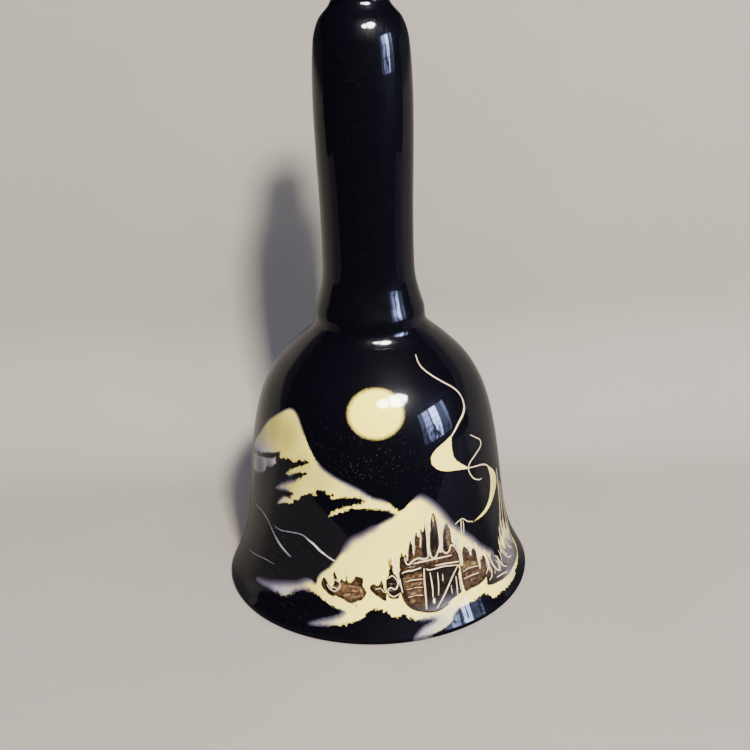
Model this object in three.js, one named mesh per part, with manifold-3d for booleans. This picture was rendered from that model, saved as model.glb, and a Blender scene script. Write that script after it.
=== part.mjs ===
// A porcelain hand bell: a flared shell, a hollow turned handle luted onto its crown, and a bead
// clapper that hangs inside on a short chain. Millimetres, +Z up. The origin is the centre of the
// mouth, on the plane that the bell stands on. The decorated front faces -Y.
import * as THREE from "three";
import { mergeVertices } from "three/addons/utils/BufferGeometryUtils.js";
import Module from "manifold-3d";

const wasm = await Module();
wasm.setup();

// ---- Driving dimensions ----
const MOUTH_RADIUS = 38; // over the lip
const SEAT_HEIGHT = 66.8; // the crown's flat seat, where the handle's foot is luted on
const TOP_HEIGHT = 152; // the knob's top
const SHELL_WALL = 3.4;
const HANDLE_WALL = 3.2;
const CROWN_THICKNESS = 4.4;
const FOOT_OUTER = 37.2; // the flat ring under the lip
const FOOT_INNER = 35.4;
const CROWN_HOLE_RADIUS = 3.6;
const FIT_GAP = 0.3; // between pieces that touch

const WIRE_RADIUS = 0.6;
const LINK_BEND_RADIUS = 1.9; // of the centre line at a link's ends
const LINK_STRAIGHT = 4.4;
const LINK_COUNT = 3;
const LINK_PLAY = 0.15; // between the wires of two links that hang on each other
const EYE_BOTTOM = 55.3; // centre of the wire at the bottom of the staple's eye
const EYE_RADIUS = 2; // of the clapper pin's eye, on the centre line
const BEAD_RADIUS = 8;
const BEAD_BORE_RADIUS = WIRE_RADIUS + FIT_GAP;
const BEAD_DROP = 17.1; // from the centre of the pin's eye down to the bead's centre

// The chain hangs with its links' planes at 45 degrees to the front, turn and turn about.
const STAPLE_TURN = Math.PI / 4;
const QUARTER_TURN = Math.PI / 2;

const SHELL_SEGMENTS = 48;
const SHELL_ROWS = 15;
const HANDLE_SEGMENTS = 32;
const HANDLE_ROWS = 34;
const BORE_ROWS = 9;
const BEAD_SEGMENTS = 24;
const BEAD_ROWS = 12;
const SMALL_SEGMENTS = 20;
const WIRE_SIDES = 8;
const LINK_STEPS = 24;

// ---- Outlines ----
// The shell outside, from the lip to the shoulder: share of the mouth radius, share of the seat height.
const SHELL_OUTLINE = [
  [1.0, 0.018],
  [0.974, 0.047],
  [0.924, 0.108],
  [0.876, 0.195],
  [0.838, 0.322],
  [0.808, 0.484],
  [0.769, 0.629],
  [0.711, 0.746],
  [0.625, 0.836],
  [0.509, 0.908],
  [0.402, 0.962],
];
// The shoulder rounds over onto the seat in these last points.
const SHOULDER_EDGE = [
  [0.374, 0.983],
  [0.356, 0.9955],
  [0.338, 1.0],
];

// The handle outside, from its foot to the neck: radius, then height as a share of the way from
// the seat to the top.
const GRIP_OUTLINE = [
  [12.95, 0],
  [13.1, 0.02],
  [12.9, 0.042],
  [11.9, 0.082],
  [10.95, 0.137],
  [10.75, 0.225],
  [10.85, 0.343],
  [11.15, 0.472],
  [11.3, 0.589],
  [11.15, 0.683],
  [10.8, 0.745],
  [10.3, 0.784],
  [9.1, 0.82],
  [7.2, 0.846],
];
const KNOB_OUTLINE = [
  [6.3, 0.866],
  [6.4, 0.884],
  [7.15, 0.904],
  [7.45, 0.932],
  [6.95, 0.96],
  [5.3, 0.984],
  [2.7, 0.997],
  [0, 1],
];
// The bore stops this many of its points short of the neck, in solid clay.
const BORE_POINTS_LEFT_SOLID = 4;

// ---- Geometry helpers ----
const point = ([x, y]) => new THREE.Vector2(x, y);

function smooth(points, count) {
  return new THREE.SplineCurve(points).getSpacedPoints(count);
}

// The line that runs a wall's thickness inside another, which has its outside on its right.
function insideOf(line, thickness) {
  return line.map((here, i) => {
    const before = line[Math.max(i - 1, 0)];
    const after = line[Math.min(i + 1, line.length - 1)];
    const along = after.clone().sub(before).normalize();
    return new THREE.Vector2(
      here.x - along.y * thickness,
      here.y + along.x * thickness,
    );
  });
}

// Turns a profile of (radius, height) points round the Z axis.
function turned(profile, segments) {
  return new THREE.LatheGeometry(profile, segments).rotateX(QUARTER_TURN);
}

function wireSection() {
  const corners = [];
  for (let i = 0; i < WIRE_SIDES; i++) {
    const angle = (2 * Math.PI * i) / WIRE_SIDES;
    corners.push(
      new THREE.Vector2(
        WIRE_RADIUS * Math.cos(angle),
        WIRE_RADIUS * Math.sin(angle),
      ),
    );
  }
  return new THREE.Shape(corners);
}

// Wire bent along points (across, up) of one upright plane.
function bentWire(points, steps) {
  const path = new THREE.CatmullRomCurve3(
    points.map(([across, up]) => new THREE.Vector3(across, 0, up)),
    false,
    "centripetal",
  );
  return new THREE.ExtrudeGeometry(wireSection(), {
    steps,
    bevelEnabled: false,
    extrudePath: path,
  });
}

function solidOf(geometry) {
  const bare = geometry.clone();
  bare.deleteAttribute("normal");
  bare.deleteAttribute("uv");
  const merged = mergeVertices(bare, 1e-4);
  return new wasm.Manifold(
    new wasm.Mesh({
      numProp: 3,
      vertProperties: new Float32Array(merged.attributes.position.array),
      triVerts: new Uint32Array(merged.index.array),
    }),
  );
}

function geometryOf(solid) {
  const mesh = solid.getMesh();
  const positions = new Float32Array(mesh.numVert * 3);
  for (let i = 0; i < mesh.numVert; i++) {
    const start = i * mesh.numProp;
    positions.set(mesh.vertProperties.subarray(start, start + 3), i * 3);
  }
  const geometry = new THREE.BufferGeometry();
  geometry.setAttribute("position", new THREE.BufferAttribute(positions, 3));
  geometry.setIndex(new THREE.BufferAttribute(mesh.triVerts, 1));
  geometry.computeVertexNormals();
  return geometry;
}

// ---- Pieces ----
function bellShell() {
  const outside = smooth(
    SHELL_OUTLINE.map(([r, z]) =>
      point([r * MOUTH_RADIUS, z * SEAT_HEIGHT]),
    ),
    SHELL_ROWS,
  );
  const edge = SHOULDER_EDGE.map(([r, z]) =>
    point([r * MOUTH_RADIUS, z * SEAT_HEIGHT]),
  );
  const ceiling = SEAT_HEIGHT - CROWN_THICKNESS;
  const inside = insideOf(outside, SHELL_WALL).filter(
    (p) => p.y > FOOT_OUTER - FOOT_INNER && p.y < ceiling - 0.8,
  );
  const first = point([FOOT_INNER, 0]);
  return turned(
    [
      first,
      point([FOOT_OUTER, 0]),
      ...outside,
      ...edge,
      point([CROWN_HOLE_RADIUS, SEAT_HEIGHT]),
      point([CROWN_HOLE_RADIUS, ceiling]),
      point([inside.at(-1).x - 3, ceiling]),
      ...inside.reverse(),
      first.clone(),
    ],
    SHELL_SEGMENTS,
  );
}

function handle() {
  const rise = TOP_HEIGHT - SEAT_HEIGHT;
  const placed = ([r, share]) => point([r, SEAT_HEIGHT + share * rise]);
  const grip = GRIP_OUTLINE.map(placed);
  const outside = smooth([...grip, ...KNOB_OUTLINE.map(placed)], HANDLE_ROWS);
  const hollow = smooth(grip.slice(0, -BORE_POINTS_LEFT_SOLID), BORE_ROWS);
  const bore = insideOf(hollow, HANDLE_WALL).reverse();
  bore.at(-1).y = SEAT_HEIGHT;
  const end = bore[0];
  // A dome closes the bore.
  const dome = [];
  for (let i = 0; i < 4; i++) {
    const angle = (Math.PI / 2) * (1 - i / 4);
    dome.push(
      point([
        end.x * Math.cos(angle),
        end.y + end.x * 0.6 * Math.sin(angle),
      ]),
    );
  }
  dome[0].x = 0;
  outside.at(-1).x = 0;
  return turned([...dome, ...bore, ...outside], HANDLE_SEGMENTS);
}

// A plug of cement in the crown's hole, with a pad above and below, around the staple's legs.
const PAD_RADIUS = 6.2;
const PAD_THICKNESS = 1.9;
const UPPER_PAD_RADIUS = 5.4;
const LEG_SPREAD = 0.75; // from the axis to each leg's centre

function crownCement() {
  const neck = CROWN_HOLE_RADIUS - FIT_GAP;
  const under = SEAT_HEIGHT - CROWN_THICKNESS - FIT_GAP;
  const over = SEAT_HEIGHT + FIT_GAP;
  const plug = solidOf(
    turned(
      [
        point([0, under - PAD_THICKNESS]),
        point([PAD_RADIUS * 0.45, under - PAD_THICKNESS]),
        point([PAD_RADIUS * 0.8, under - PAD_THICKNESS * 0.6]),
        point([PAD_RADIUS, under - PAD_THICKNESS * 0.1]),
        point([PAD_RADIUS, under]),
        point([neck, under]),
        point([neck, over]),
        point([UPPER_PAD_RADIUS, over]),
        point([UPPER_PAD_RADIUS * 0.8, over + PAD_THICKNESS * 0.7]),
        point([UPPER_PAD_RADIUS * 0.4, over + PAD_THICKNESS]),
        point([0, over + PAD_THICKNESS]),
      ],
      SMALL_SEGMENTS,
    ),
  );
  const length = 2 * (LEG_SPREAD + WIRE_RADIUS + FIT_GAP);
  const width = 2 * (WIRE_RADIUS + FIT_GAP);
  const slot = new THREE.BoxGeometry(length, width, 30);
  slot.translate(0, 0, SEAT_HEIGHT);
  return geometryOf(plug.subtract(solidOf(slot)));
}

// A split pin: an eye below the crown, and two legs that splay in the handle's bore.
function hangerStaple() {
  const half = [
    [3.8, SEAT_HEIGHT + 5.6],
    [2.3, SEAT_HEIGHT + 4.8],
    [1.1, SEAT_HEIGHT + 3.6],
    [LEG_SPREAD, SEAT_HEIGHT + 2],
    [LEG_SPREAD, SEAT_HEIGHT - 2],
    [LEG_SPREAD, SEAT_HEIGHT - 6.4],
    [1.45, EYE_BOTTOM + 4.0],
    [2.1, EYE_BOTTOM + 2.8],
    [1.95, EYE_BOTTOM + 1.3],
    [1.1, EYE_BOTTOM + 0.27],
  ];
  const mirrored = half.map(([x, z]) => [-x, z]).reverse();
  return bentWire([...half, [0, EYE_BOTTOM], ...mirrored], 48);
}

// A link's centre line: two straights joined by half circles, upright, with its top at height 0.
class LinkLine extends THREE.Curve {
  getPoint(t, target = new THREE.Vector3()) {
    const bend = Math.PI * LINK_BEND_RADIUS;
    const round = 2 * (bend + LINK_STRAIGHT);
    let s = ((t % 1) + 1) % 1 * round;
    const top = -LINK_BEND_RADIUS;
    const bottom = top - LINK_STRAIGHT;
    if (s < LINK_STRAIGHT) return target.set(LINK_BEND_RADIUS, 0, bottom + s);
    s -= LINK_STRAIGHT;
    if (s < bend) {
      const angle = s / LINK_BEND_RADIUS;
      return target.set(
        LINK_BEND_RADIUS * Math.cos(angle),
        0,
        top + LINK_BEND_RADIUS * Math.sin(angle),
      );
    }
    s -= bend;
    if (s < LINK_STRAIGHT) return target.set(-LINK_BEND_RADIUS, 0, top - s);
    const angle = Math.PI + (s - LINK_STRAIGHT) / LINK_BEND_RADIUS;
    return target.set(
      LINK_BEND_RADIUS * Math.cos(angle),
      0,
      bottom + LINK_BEND_RADIUS * Math.sin(angle),
    );
  }
}

function chainLink() {
  return new THREE.TubeGeometry(
    new LinkLine(),
    LINK_STEPS,
    WIRE_RADIUS,
    WIRE_SIDES,
    true,
  );
}

// An eye pin with its eye's top at height 0: the eye, a shank through the bead, and a peened head.
function clapperPin() {
  const eyeCentre = -EYE_RADIUS;
  const beadBottom = eyeCentre - BEAD_DROP - BEAD_RADIUS;
  const neck = eyeCentre - EYE_RADIUS - 1.1;
  const points = [
    [0, beadBottom - 0.6],
    [0, beadBottom + BEAD_RADIUS],
    [0, beadBottom + 2 * BEAD_RADIUS],
    [0, neck - 1.4],
    [0.15, neck],
  ];
  for (let degrees = -52; degrees <= 228; degrees += 28) {
    const angle = (degrees * Math.PI) / 180;
    points.push([
      EYE_RADIUS * Math.cos(angle),
      eyeCentre + EYE_RADIUS * Math.sin(angle),
    ]);
  }
  const headTop = beadBottom - FIT_GAP;
  const head = turned(
    [
      point([0, headTop - 1.2]),
      point([0.9, headTop - 1.0]),
      point([1.45, headTop - 0.5]),
      point([1.5, headTop - 0.1]),
      point([1.3, headTop]),
      point([0, headTop]),
    ],
    SMALL_SEGMENTS,
  );
  return geometryOf(solidOf(bentWire(points, 40)).add(solidOf(head)));
}

// A bead with a bore, centred on its own middle.
function clapperBead() {
  const start = Math.asin(BEAD_BORE_RADIUS / BEAD_RADIUS);
  const profile = [];
  for (let i = 0; i <= BEAD_ROWS; i++) {
    const angle = start + ((Math.PI - 2 * start) * i) / BEAD_ROWS;
    profile.push(
      point([BEAD_RADIUS * Math.sin(angle), -BEAD_RADIUS * Math.cos(angle)]),
    );
  }
  profile.push(profile[0].clone());
  return turned(profile, BEAD_SEGMENTS);
}

// ---- Materials ----
const blackGlaze = new THREE.MeshStandardMaterial({
  color: 0x07060b,
  roughness: 0.06,
  metalness: 0,
});
const cement = new THREE.MeshStandardMaterial({
  color: 0xcfc8b8,
  roughness: 0.9,
  metalness: 0,
});
const brass = new THREE.MeshStandardMaterial({
  color: 0xb08a3e,
  roughness: 0.35,
  metalness: 1,
});
const creamPorcelain = new THREE.MeshStandardMaterial({
  color: 0xe6dcae,
  roughness: 0.3,
  metalness: 0,
});

// ---- Assembly ----
const bell = new THREE.Group();

function place(name, geometry, material, height = 0, turn = 0) {
  const mesh = new THREE.Mesh(geometry, material);
  mesh.name = name;
  mesh.position.z = height;
  mesh.rotation.z = turn;
  bell.add(mesh);
  return mesh;
}

place("bell_shell", bellShell(), blackGlaze);
place("handle", handle(), blackGlaze);
place("crown_cement", crownCement(), cement, 0, STAPLE_TURN);
place("hanger_staple", hangerStaple(), brass, 0, STAPLE_TURN);

// Each piece of the chain has its top wire one wire above the bottom wire that it hangs on.
const HANG = 2 * WIRE_RADIUS + LINK_PLAY;
const LINK_LENGTH = LINK_STRAIGHT + 2 * LINK_BEND_RADIUS;
let hook = EYE_BOTTOM;
let turn = STAPLE_TURN;
for (let i = 1; i <= LINK_COUNT; i++) {
  turn += QUARTER_TURN;
  place(`chain_link_${i}`, chainLink(), brass, hook + HANG, turn);
  hook += HANG - LINK_LENGTH;
}
const eyeTop = hook + HANG;
turn += QUARTER_TURN;
place("clapper_pin", clapperPin(), brass, eyeTop, turn);
place(
  "clapper_bead",
  clapperBead(),
  creamPorcelain,
  eyeTop - EYE_RADIUS - BEAD_DROP,
  turn,
);

export default bell;
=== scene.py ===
"""A glazed porcelain hand bell with a drawn winter night scene, laid out as an add-on.

Lengths in the tables are millimetres and angles are degrees. A place on the bell's outside is
given as (azimuth, height): azimuth 0 is the middle of the front, and positive is to the right.
"""
import math

import bpy
import numpy as np
from bpy.props import FloatProperty, FloatVectorProperty, IntProperty, PointerProperty
from mathutils import Matrix, Vector


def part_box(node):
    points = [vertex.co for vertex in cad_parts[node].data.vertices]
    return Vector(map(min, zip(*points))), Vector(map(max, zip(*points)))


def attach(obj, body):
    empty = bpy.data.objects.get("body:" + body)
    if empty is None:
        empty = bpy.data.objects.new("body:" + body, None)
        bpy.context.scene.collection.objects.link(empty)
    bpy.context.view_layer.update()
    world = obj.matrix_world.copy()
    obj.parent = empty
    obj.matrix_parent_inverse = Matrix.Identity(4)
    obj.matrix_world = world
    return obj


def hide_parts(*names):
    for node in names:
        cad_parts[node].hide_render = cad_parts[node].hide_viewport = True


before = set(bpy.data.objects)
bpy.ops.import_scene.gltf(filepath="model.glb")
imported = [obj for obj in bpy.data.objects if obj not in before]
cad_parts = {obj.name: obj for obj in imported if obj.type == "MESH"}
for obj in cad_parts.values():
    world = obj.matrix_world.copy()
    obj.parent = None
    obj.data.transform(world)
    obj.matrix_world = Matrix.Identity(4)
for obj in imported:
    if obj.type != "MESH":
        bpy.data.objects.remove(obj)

bl_info = {
    "name": "Porcelain hand bell",
    "version": (1, 0, 0),
    "blender": (4, 5, 0),
    "location": "3D View > Sidebar > Bell",
    "description": "Builds a glazed porcelain hand bell around its frame",
    "category": "Add Mesh",
}

MM = 0.001
ROOT = "root"

# Sizes that the frame holds.
MOUTH_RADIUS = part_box("bell_shell")[1].x / MM
SEAT_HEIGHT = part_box("bell_shell")[1].z / MM
TOP_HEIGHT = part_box("handle")[1].z / MM

# The shell's outside, from the lip up: share of the mouth radius, share of the seat height.
SHELL_OUTLINE = [
    (1.0, 0.018), (0.974, 0.047), (0.924, 0.108), (0.876, 0.195), (0.838, 0.322), (0.808, 0.484),
    (0.769, 0.629), (0.711, 0.746), (0.625, 0.836), (0.509, 0.908), (0.402, 0.962),
]
# The shoulder goes on to the seat under the seam of glaze.
SHOULDER_EDGE = [(0.374, 0.976), (0.355, 0.985), (0.341, 0.995), (0.336, 1.0)]
# The handle's outside: radius, share of the way from the seat to the top.
GRIP_OUTLINE = [
    (12.95, 0.0), (13.1, 0.02), (12.9, 0.042), (11.9, 0.082), (10.95, 0.137), (10.75, 0.225),
    (10.85, 0.343), (11.15, 0.472), (11.3, 0.589), (11.15, 0.683), (10.8, 0.745), (10.3, 0.784),
    (9.1, 0.82), (7.2, 0.846), (6.3, 0.866), (6.4, 0.884), (7.15, 0.904), (7.45, 0.932),
    (6.95, 0.96), (5.3, 0.984), (2.7, 0.997), (0.0, 1.0),
]
SHELL_WALL = 3.4
HANDLE_WALL = 3.2
CROWN_THICKNESS = 4.4
CROWN_HOLE_RADIUS = 3.6
FOOT_RADII = (35.4, 37.2)

# ---- The drawing on the front ----
MOON_CENTRE = (1.1, 53.3)
MOON_RADIUS = 6.4
MOON_SQUASH = 1.13
SNOW = {
    "mountain": [
        (-78, 37.5), (-72, 41.3), (-67, 44.5), (-62, 47.2), (-55, 49.8), (-48, 51.9), (-43, 51.6),
        (-39.5, 50.3), (-34.5, 47.2), (-31, 44.6), (-25.5, 41.4), (-19.5, 39.5), (-13.5, 38.1),
        (-8, 36.8), (-2, 34.8), (3.5, 33.8), (7, 32.4), (9.3, 30.8), (8, 30.3), (4.5, 31.4),
        (-1, 32.0), (-8, 32.1), (-14, 31.3), (-20.5, 29.6), (-17, 31.7), (-11, 32.8), (-6, 33.5),
        (-5.5, 34.2), (-9, 34.7), (-15, 34.3), (-20, 33.9), (-18.3, 35.2), (-22, 34.7),
        (-22.6, 35.8), (-24.4, 35.4), (-26.3, 35.9), (-27.6, 34.2), (-30, 34.4), (-32, 33.6),
        (-34.5, 33.1), (-36, 31.9), (-38.5, 31.5), (-40, 30.3), (-44, 29.9), (-49, 28.7),
        (-45, 31.2), (-41, 31.6), (-39.4, 33.1), (-45, 33.0), (-50, 32.6), (-44, 35.0),
        (-37, 36.8), (-32, 38.9), (-37.5, 38.3), (-42, 37.0), (-43.5, 37.8), (-38.5, 39.4),
        (-30.8, 41.5), (-35, 41.6), (-40.3, 40.5), (-42.4, 41.2), (-46, 40.6), (-49, 40.3),
        (-47.8, 41.8), (-52, 41.0), (-58.8, 39.8), (-65.5, 38.4), (-72, 37.5),
    ],
    "far slope": [
        (-75, 36.0), (-68, 36.9), (-60, 38.1), (-52.2, 39.5), (-51.8, 38.0), (-55.2, 37.0),
        (-58.8, 36.1), (-60.6, 34.7), (-65, 33.4), (-70, 32.4), (-76, 32.4),
    ],
    "roof": [
        (-26.4, 12.2), (-25.6, 14.0), (-23.8, 15.4), (-20.5, 17.0), (-18, 18.9), (-14, 22.3),
        (-10.8, 24.6), (-7, 25.7), (-2, 27.4), (4.5, 29.3), (10.3, 31.0), (14.5, 32.9),
        (18.5, 33.9), (22, 33.0), (25.2, 31.4), (28.2, 29.4), (31.2, 27.0), (34, 24.7),
        (40, 21.4), (44.5, 19.0), (47.5, 16.8), (51.5, 14.6), (56, 12.4), (58, 9.5), (62, 8.6),
        (69, 4.9), (64, 3.3), (54, 3.3), (48.5, 3.5), (45.6, 4.9), (43.6, 5.5), (39, 5.1),
        (34.3, 5.0), (30, 4.6), (27, 2.9), (24, 2.1), (19, 1.35), (12, 1.0), (15, 2.9),
        (18.3, 3.6), (20.2, 4.2), (16.5, 4.6), (13.4, 4.8), (10.6, 5.5), (9.8, 6.2), (8.2, 6.4),
        (6.8, 5.9), (4.8, 6.1), (2.3, 7.2), (-0.4, 7.8), (-3, 7.9), (-4.8, 7.4), (-6.3, 6.2),
        (-9, 5.3), (-13, 4.5), (-18, 3.9), (-26.5, 3.4), (-21, 4.9), (-16.2, 6.0), (-14.2, 7.1),
        (-17.6, 7.9), (-21, 8.7), (-24.5, 9.6), (-27.5, 10.2), (-31, 10.3), (-34.6, 9.5),
        (-37.5, 8.2), (-41, 7.1), (-47, 7.2), (-58, 7.0), (-50, 8.4), (-41, 10.2), (-35, 11.3),
        (-31, 12.7), (-28.3, 12.9),
    ],
    "smoke": [
        (38.4, 45.7), (34.9, 45.1), (30.2, 44.2), (26.9, 43.1), (25.6, 41.8), (26.6, 40.2),
        (29.4, 38.9), (33.8, 38.0), (39, 37.4), (45.8, 36.8), (42.4, 38.2), (38.6, 40.2),
        (37.6, 42.0), (37.8, 44.0),
    ],
    "crescent": [
        (61.5, 33.6), (65, 32.4), (69.3, 30.0), (70, 27.4), (66, 25.5), (60, 23.7), (53, 22.9),
        (45.5, 22.9), (51.6, 23.5), (56.2, 24.3), (60, 25.8), (62.3, 28.2), (63, 31.0),
    ],
    "peaks": [
        (58, 7.5), (60.4, 9.4), (62.4, 11.0), (63.2, 15.5), (64.2, 12.0), (66, 16.8), (67.4, 12.6),
        (69.4, 19.0), (70.6, 13.5), (73, 17.0), (75, 12.4), (78, 14.8), (80.5, 9.5), (82, 6.2),
        (76, 4.6), (68, 4.2), (60, 4.4),
    ],
}
# Brown wash, each mark over the ones before it: how dark it is, and its outline.
WASH = [
    # the gable, its dark gaps and its two tall boards with ochre tips
    (0.42, [
        (8.6, 16.4), (8.2, 18.2), (9.6, 21.0), (10.3, 19.8), (11.2, 20.6), (12.0, 19.6),
        (13.5, 23.5), (14.4, 22.6), (16.3, 25.5), (17.2, 24.0), (18.4, 26.3), (19.2, 25.0),
        (20.5, 27.5), (21.1, 25.4), (21.6, 22.4), (22.4, 24.4), (23.2, 28.0), (24.6, 29.3),
        (25.6, 28.1), (26.3, 24.8), (27.3, 21.6), (28.4, 22.8), (29.5, 25.2), (30.7, 25.8),
        (31.8, 24.5), (32.5, 23.2), (32.7, 20.6), (34.4, 19.8), (35.3, 17.8), (35.6, 14.4),
        (30, 14.6), (24, 15.0), (18.6, 15.8), (12, 15.3), (8.4, 15.0),
    ]),
    (0.7, [(8.9, 17.0), (9.5, 20.4), (10.4, 18.8), (11.4, 19.8), (12.6, 18.2), (11.2, 16.9)]),
    (0.62, [(13.4, 23.0), (12.6, 20.0), (13.2, 18.6), (14.3, 20.4), (14.2, 22.2)]),
    (0.58, [(16.2, 25.0), (15.3, 21.2), (16.2, 19.2), (17.4, 21.0), (17.1, 23.6)]),
    (0.9, [(20.3, 26.6), (18.9, 22.8), (18.6, 19.4), (20.0, 18.6), (20.9, 20.2), (21.1, 24.0)]),
    (0.74, [
        (23.3, 27.0), (24.6, 28.7), (25.4, 27.6), (26.1, 24.4), (26.1, 21.4), (25.2, 19.5),
        (23.8, 18.5), (22.5, 18.7), (21.9, 20.4), (22.4, 23.8),
    ]),
    (0.95, [(23.4, 24.6), (24.9, 24.8), (25.4, 22.6), (24.9, 20.4), (23.4, 19.6), (22.6, 21.0)]),
    (0.3, [(23.6, 27.8), (24.6, 28.9), (25.3, 27.6), (25.2, 25.9), (23.9, 25.9)]),
    (0.66, [(28.6, 22.6), (29.3, 24.6), (30.1, 24.0), (30.2, 21.4), (29.6, 19.6), (28.2, 19.8)]),
    (0.34, [(30.4, 25.4), (31.6, 24.2), (32.2, 22.8), (32.0, 20.6), (30.7, 20.2), (30.4, 22.6)]),
    (0.92, [(27.9, 20.9), (28.4, 22.2), (29.6, 21.6), (30.1, 19.6), (28.9, 18.7)]),
    # the beams over the door
    (0.62, [
        (9.2, 16.9), (14, 17.4), (24, 17.3), (33.8, 17.0), (35.4, 15.6), (24, 15.5), (18, 16.0),
        (9.0, 15.9),
    ]),
    # the wall of logs, with ochre light along them
    (0.6, [
        (8.4, 16.6), (8.1, 14.2), (8.6, 12.0), (9.2, 10.1), (10.7, 8.3), (12.8, 7.2), (15.8, 6.5),
        (18.6, 6.1), (18.6, 11.0), (18.6, 16.2), (13, 15.9),
    ]),
    (0.4, [(10.2, 14.9), (14.2, 15.1), (17.9, 14.9), (17.9, 14.1), (14, 13.9), (10.0, 14.0)]),
    (0.34, [(10.2, 13.1), (14, 13.2), (17.8, 13.0), (17.7, 12.2), (14, 12.1), (10.4, 12.3)]),
    (0.36, [(10.8, 11.3), (14, 11.5), (17.5, 11.2), (17.4, 10.4), (14, 10.3), (11.0, 10.5)]),
    (0.4, [(11.6, 9.6), (14, 9.7), (17.2, 9.3), (17.0, 8.5), (14, 8.6), (12.0, 8.8)]),
    # the door
    (0.96, [
        (18.3, 16.0), (18.2, 9.4), (17.6, 6.2), (20, 5.9), (22.4, 5.9), (26.1, 6.4), (29, 7.1),
        (31.8, 7.7), (34.2, 8.3), (34.3, 12.0), (34.6, 14.4), (27.4, 15.2), (21.2, 15.4),
    ]),
    # the side wall
    (0.46, [
        (35.2, 8.2), (35.4, 14.6), (36.8, 16.4), (38.6, 18.5), (39.4, 17.9), (40.7, 17.3),
        (41.5, 15.8), (42.4, 16.3), (43.5, 16.8), (45.2, 15.8), (45.4, 14.0), (46.2, 12.6),
        (48, 13.8), (50.2, 12.8), (51.2, 9.8), (46.6, 8.0), (42.6, 7.7), (38.1, 7.8),
    ]),
    (0.22, [(36.4, 13.6), (40.6, 13.9), (44.6, 13.2), (44.6, 12.5), (40, 12.9), (36.4, 12.8)]),
    (0.74, [(39.0, 18.0), (39.2, 15.4), (40.0, 15.2), (40.2, 17.2)]),
    (0.7, [(43.3, 16.4), (43.6, 14.4), (44.6, 14.2), (44.7, 15.8)]),
    # spruce
    (0.86, [
        (4.5, 18.5), (5.6, 18.5), (5.9, 16.3), (7.0, 15.3), (7.8, 14.2), (8.7, 12.4), (8.0, 10.6),
        (6.5, 9.9), (4.0, 10.2), (2.6, 11.8), (2.6, 14.4), (3.8, 15.9),
    ]),
    (0.1, [(4.7, 20.0), (5.5, 18.6), (5.2, 17.4), (4.3, 17.4), (4.0, 18.6)]),
    # brush
    (0.9, [
        (-23.8, 13.8), (-22.6, 14.4), (-20.9, 13.0), (-18.7, 11.6), (-17.2, 10.6), (-19.4, 10.3),
        (-22.4, 11.2), (-24.0, 12.3),
    ]),
    (0.36, [
        (-19.6, 11.4), (-18.6, 13.4), (-19.0, 15.6), (-18.0, 15.9), (-16.6, 13.8), (-15.2, 14.6),
        (-13.8, 14.0), (-13.2, 15.8), (-12.4, 13.8), (-10.2, 14.7), (-9.2, 15.7), (-7.8, 14.6),
        (-6.3, 15.5), (-6.5, 13.2), (-5.1, 11.8), (-6.4, 10.2), (-9.8, 9.3), (-11.9, 9.0),
        (-15.2, 10.0), (-17.4, 10.3),
    ]),
    (0.66, [(-19.1, 15.4), (-18.4, 15.6), (-16.6, 13.4), (-17.2, 12.6), (-18.2, 13.6)]),
    (0.56, [(-8.9, 15.3), (-6.6, 15.1), (-6.8, 13.8), (-8.4, 13.4)]),
    (0.5, [
        (-4.0, 12.9), (-2.4, 13.8), (-0.5, 13.2), (0.9, 14.9), (1.8, 12.6), (2.8, 10.8),
        (2.0, 9.6), (-0.8, 10.7), (-3.4, 11.9),
    ]),
    (0.8, [
        (47.4, 6.9), (48.6, 9.8), (50.8, 12.6), (52.6, 11.4), (54.6, 12.6), (57.0, 11.0),
        (59.6, 12.2), (62, 10.2), (65, 11.6), (67.6, 9.8), (70.8, 12.0), (73.4, 9.4), (77, 10.6),
        (80.6, 7.4), (79, 5.2), (70, 4.9), (60.7, 4.9), (53.6, 5.5), (48.6, 6.1),
    ]),
    (0.2, [(54.4, 9.8), (56.0, 10.4), (57.6, 9.0), (56.6, 7.4), (55.0, 7.8)]),
    (0.16, [(62.6, 7.8), (64.6, 8.8), (66.4, 7.6), (64.8, 6.4)]),
    (0.24, [(70.6, 8.4), (72.8, 9.4), (74.6, 7.6), (72.6, 6.4)]),
    (0.8, [(48.0, 7.0), (49.6, 9.8), (51.6, 13.2), (53.0, 10.4), (52.4, 7.6), (50.2, 6.6)]),
    (0.66, [(53.8, 8.6), (55.6, 12.4), (57.2, 9.8), (59.0, 10.6), (58.6, 7.4), (56.0, 6.8)]),
    (0.74, [
        (60.2, 7.2), (60.8, 11.4), (62.6, 9.0), (64.4, 12.4), (66.0, 9.6), (65.0, 6.6), (62.4, 6.0),
    ]),
    (0.6, [(67.4, 8.2), (69.0, 13.0), (71.2, 10.2), (73.6, 12.4), (74.4, 8.0), (71, 6.2)]),
    (0.6, [(76, 8.0), (77.6, 11.4), (80, 9.4), (79, 6.8)]),
]
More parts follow.
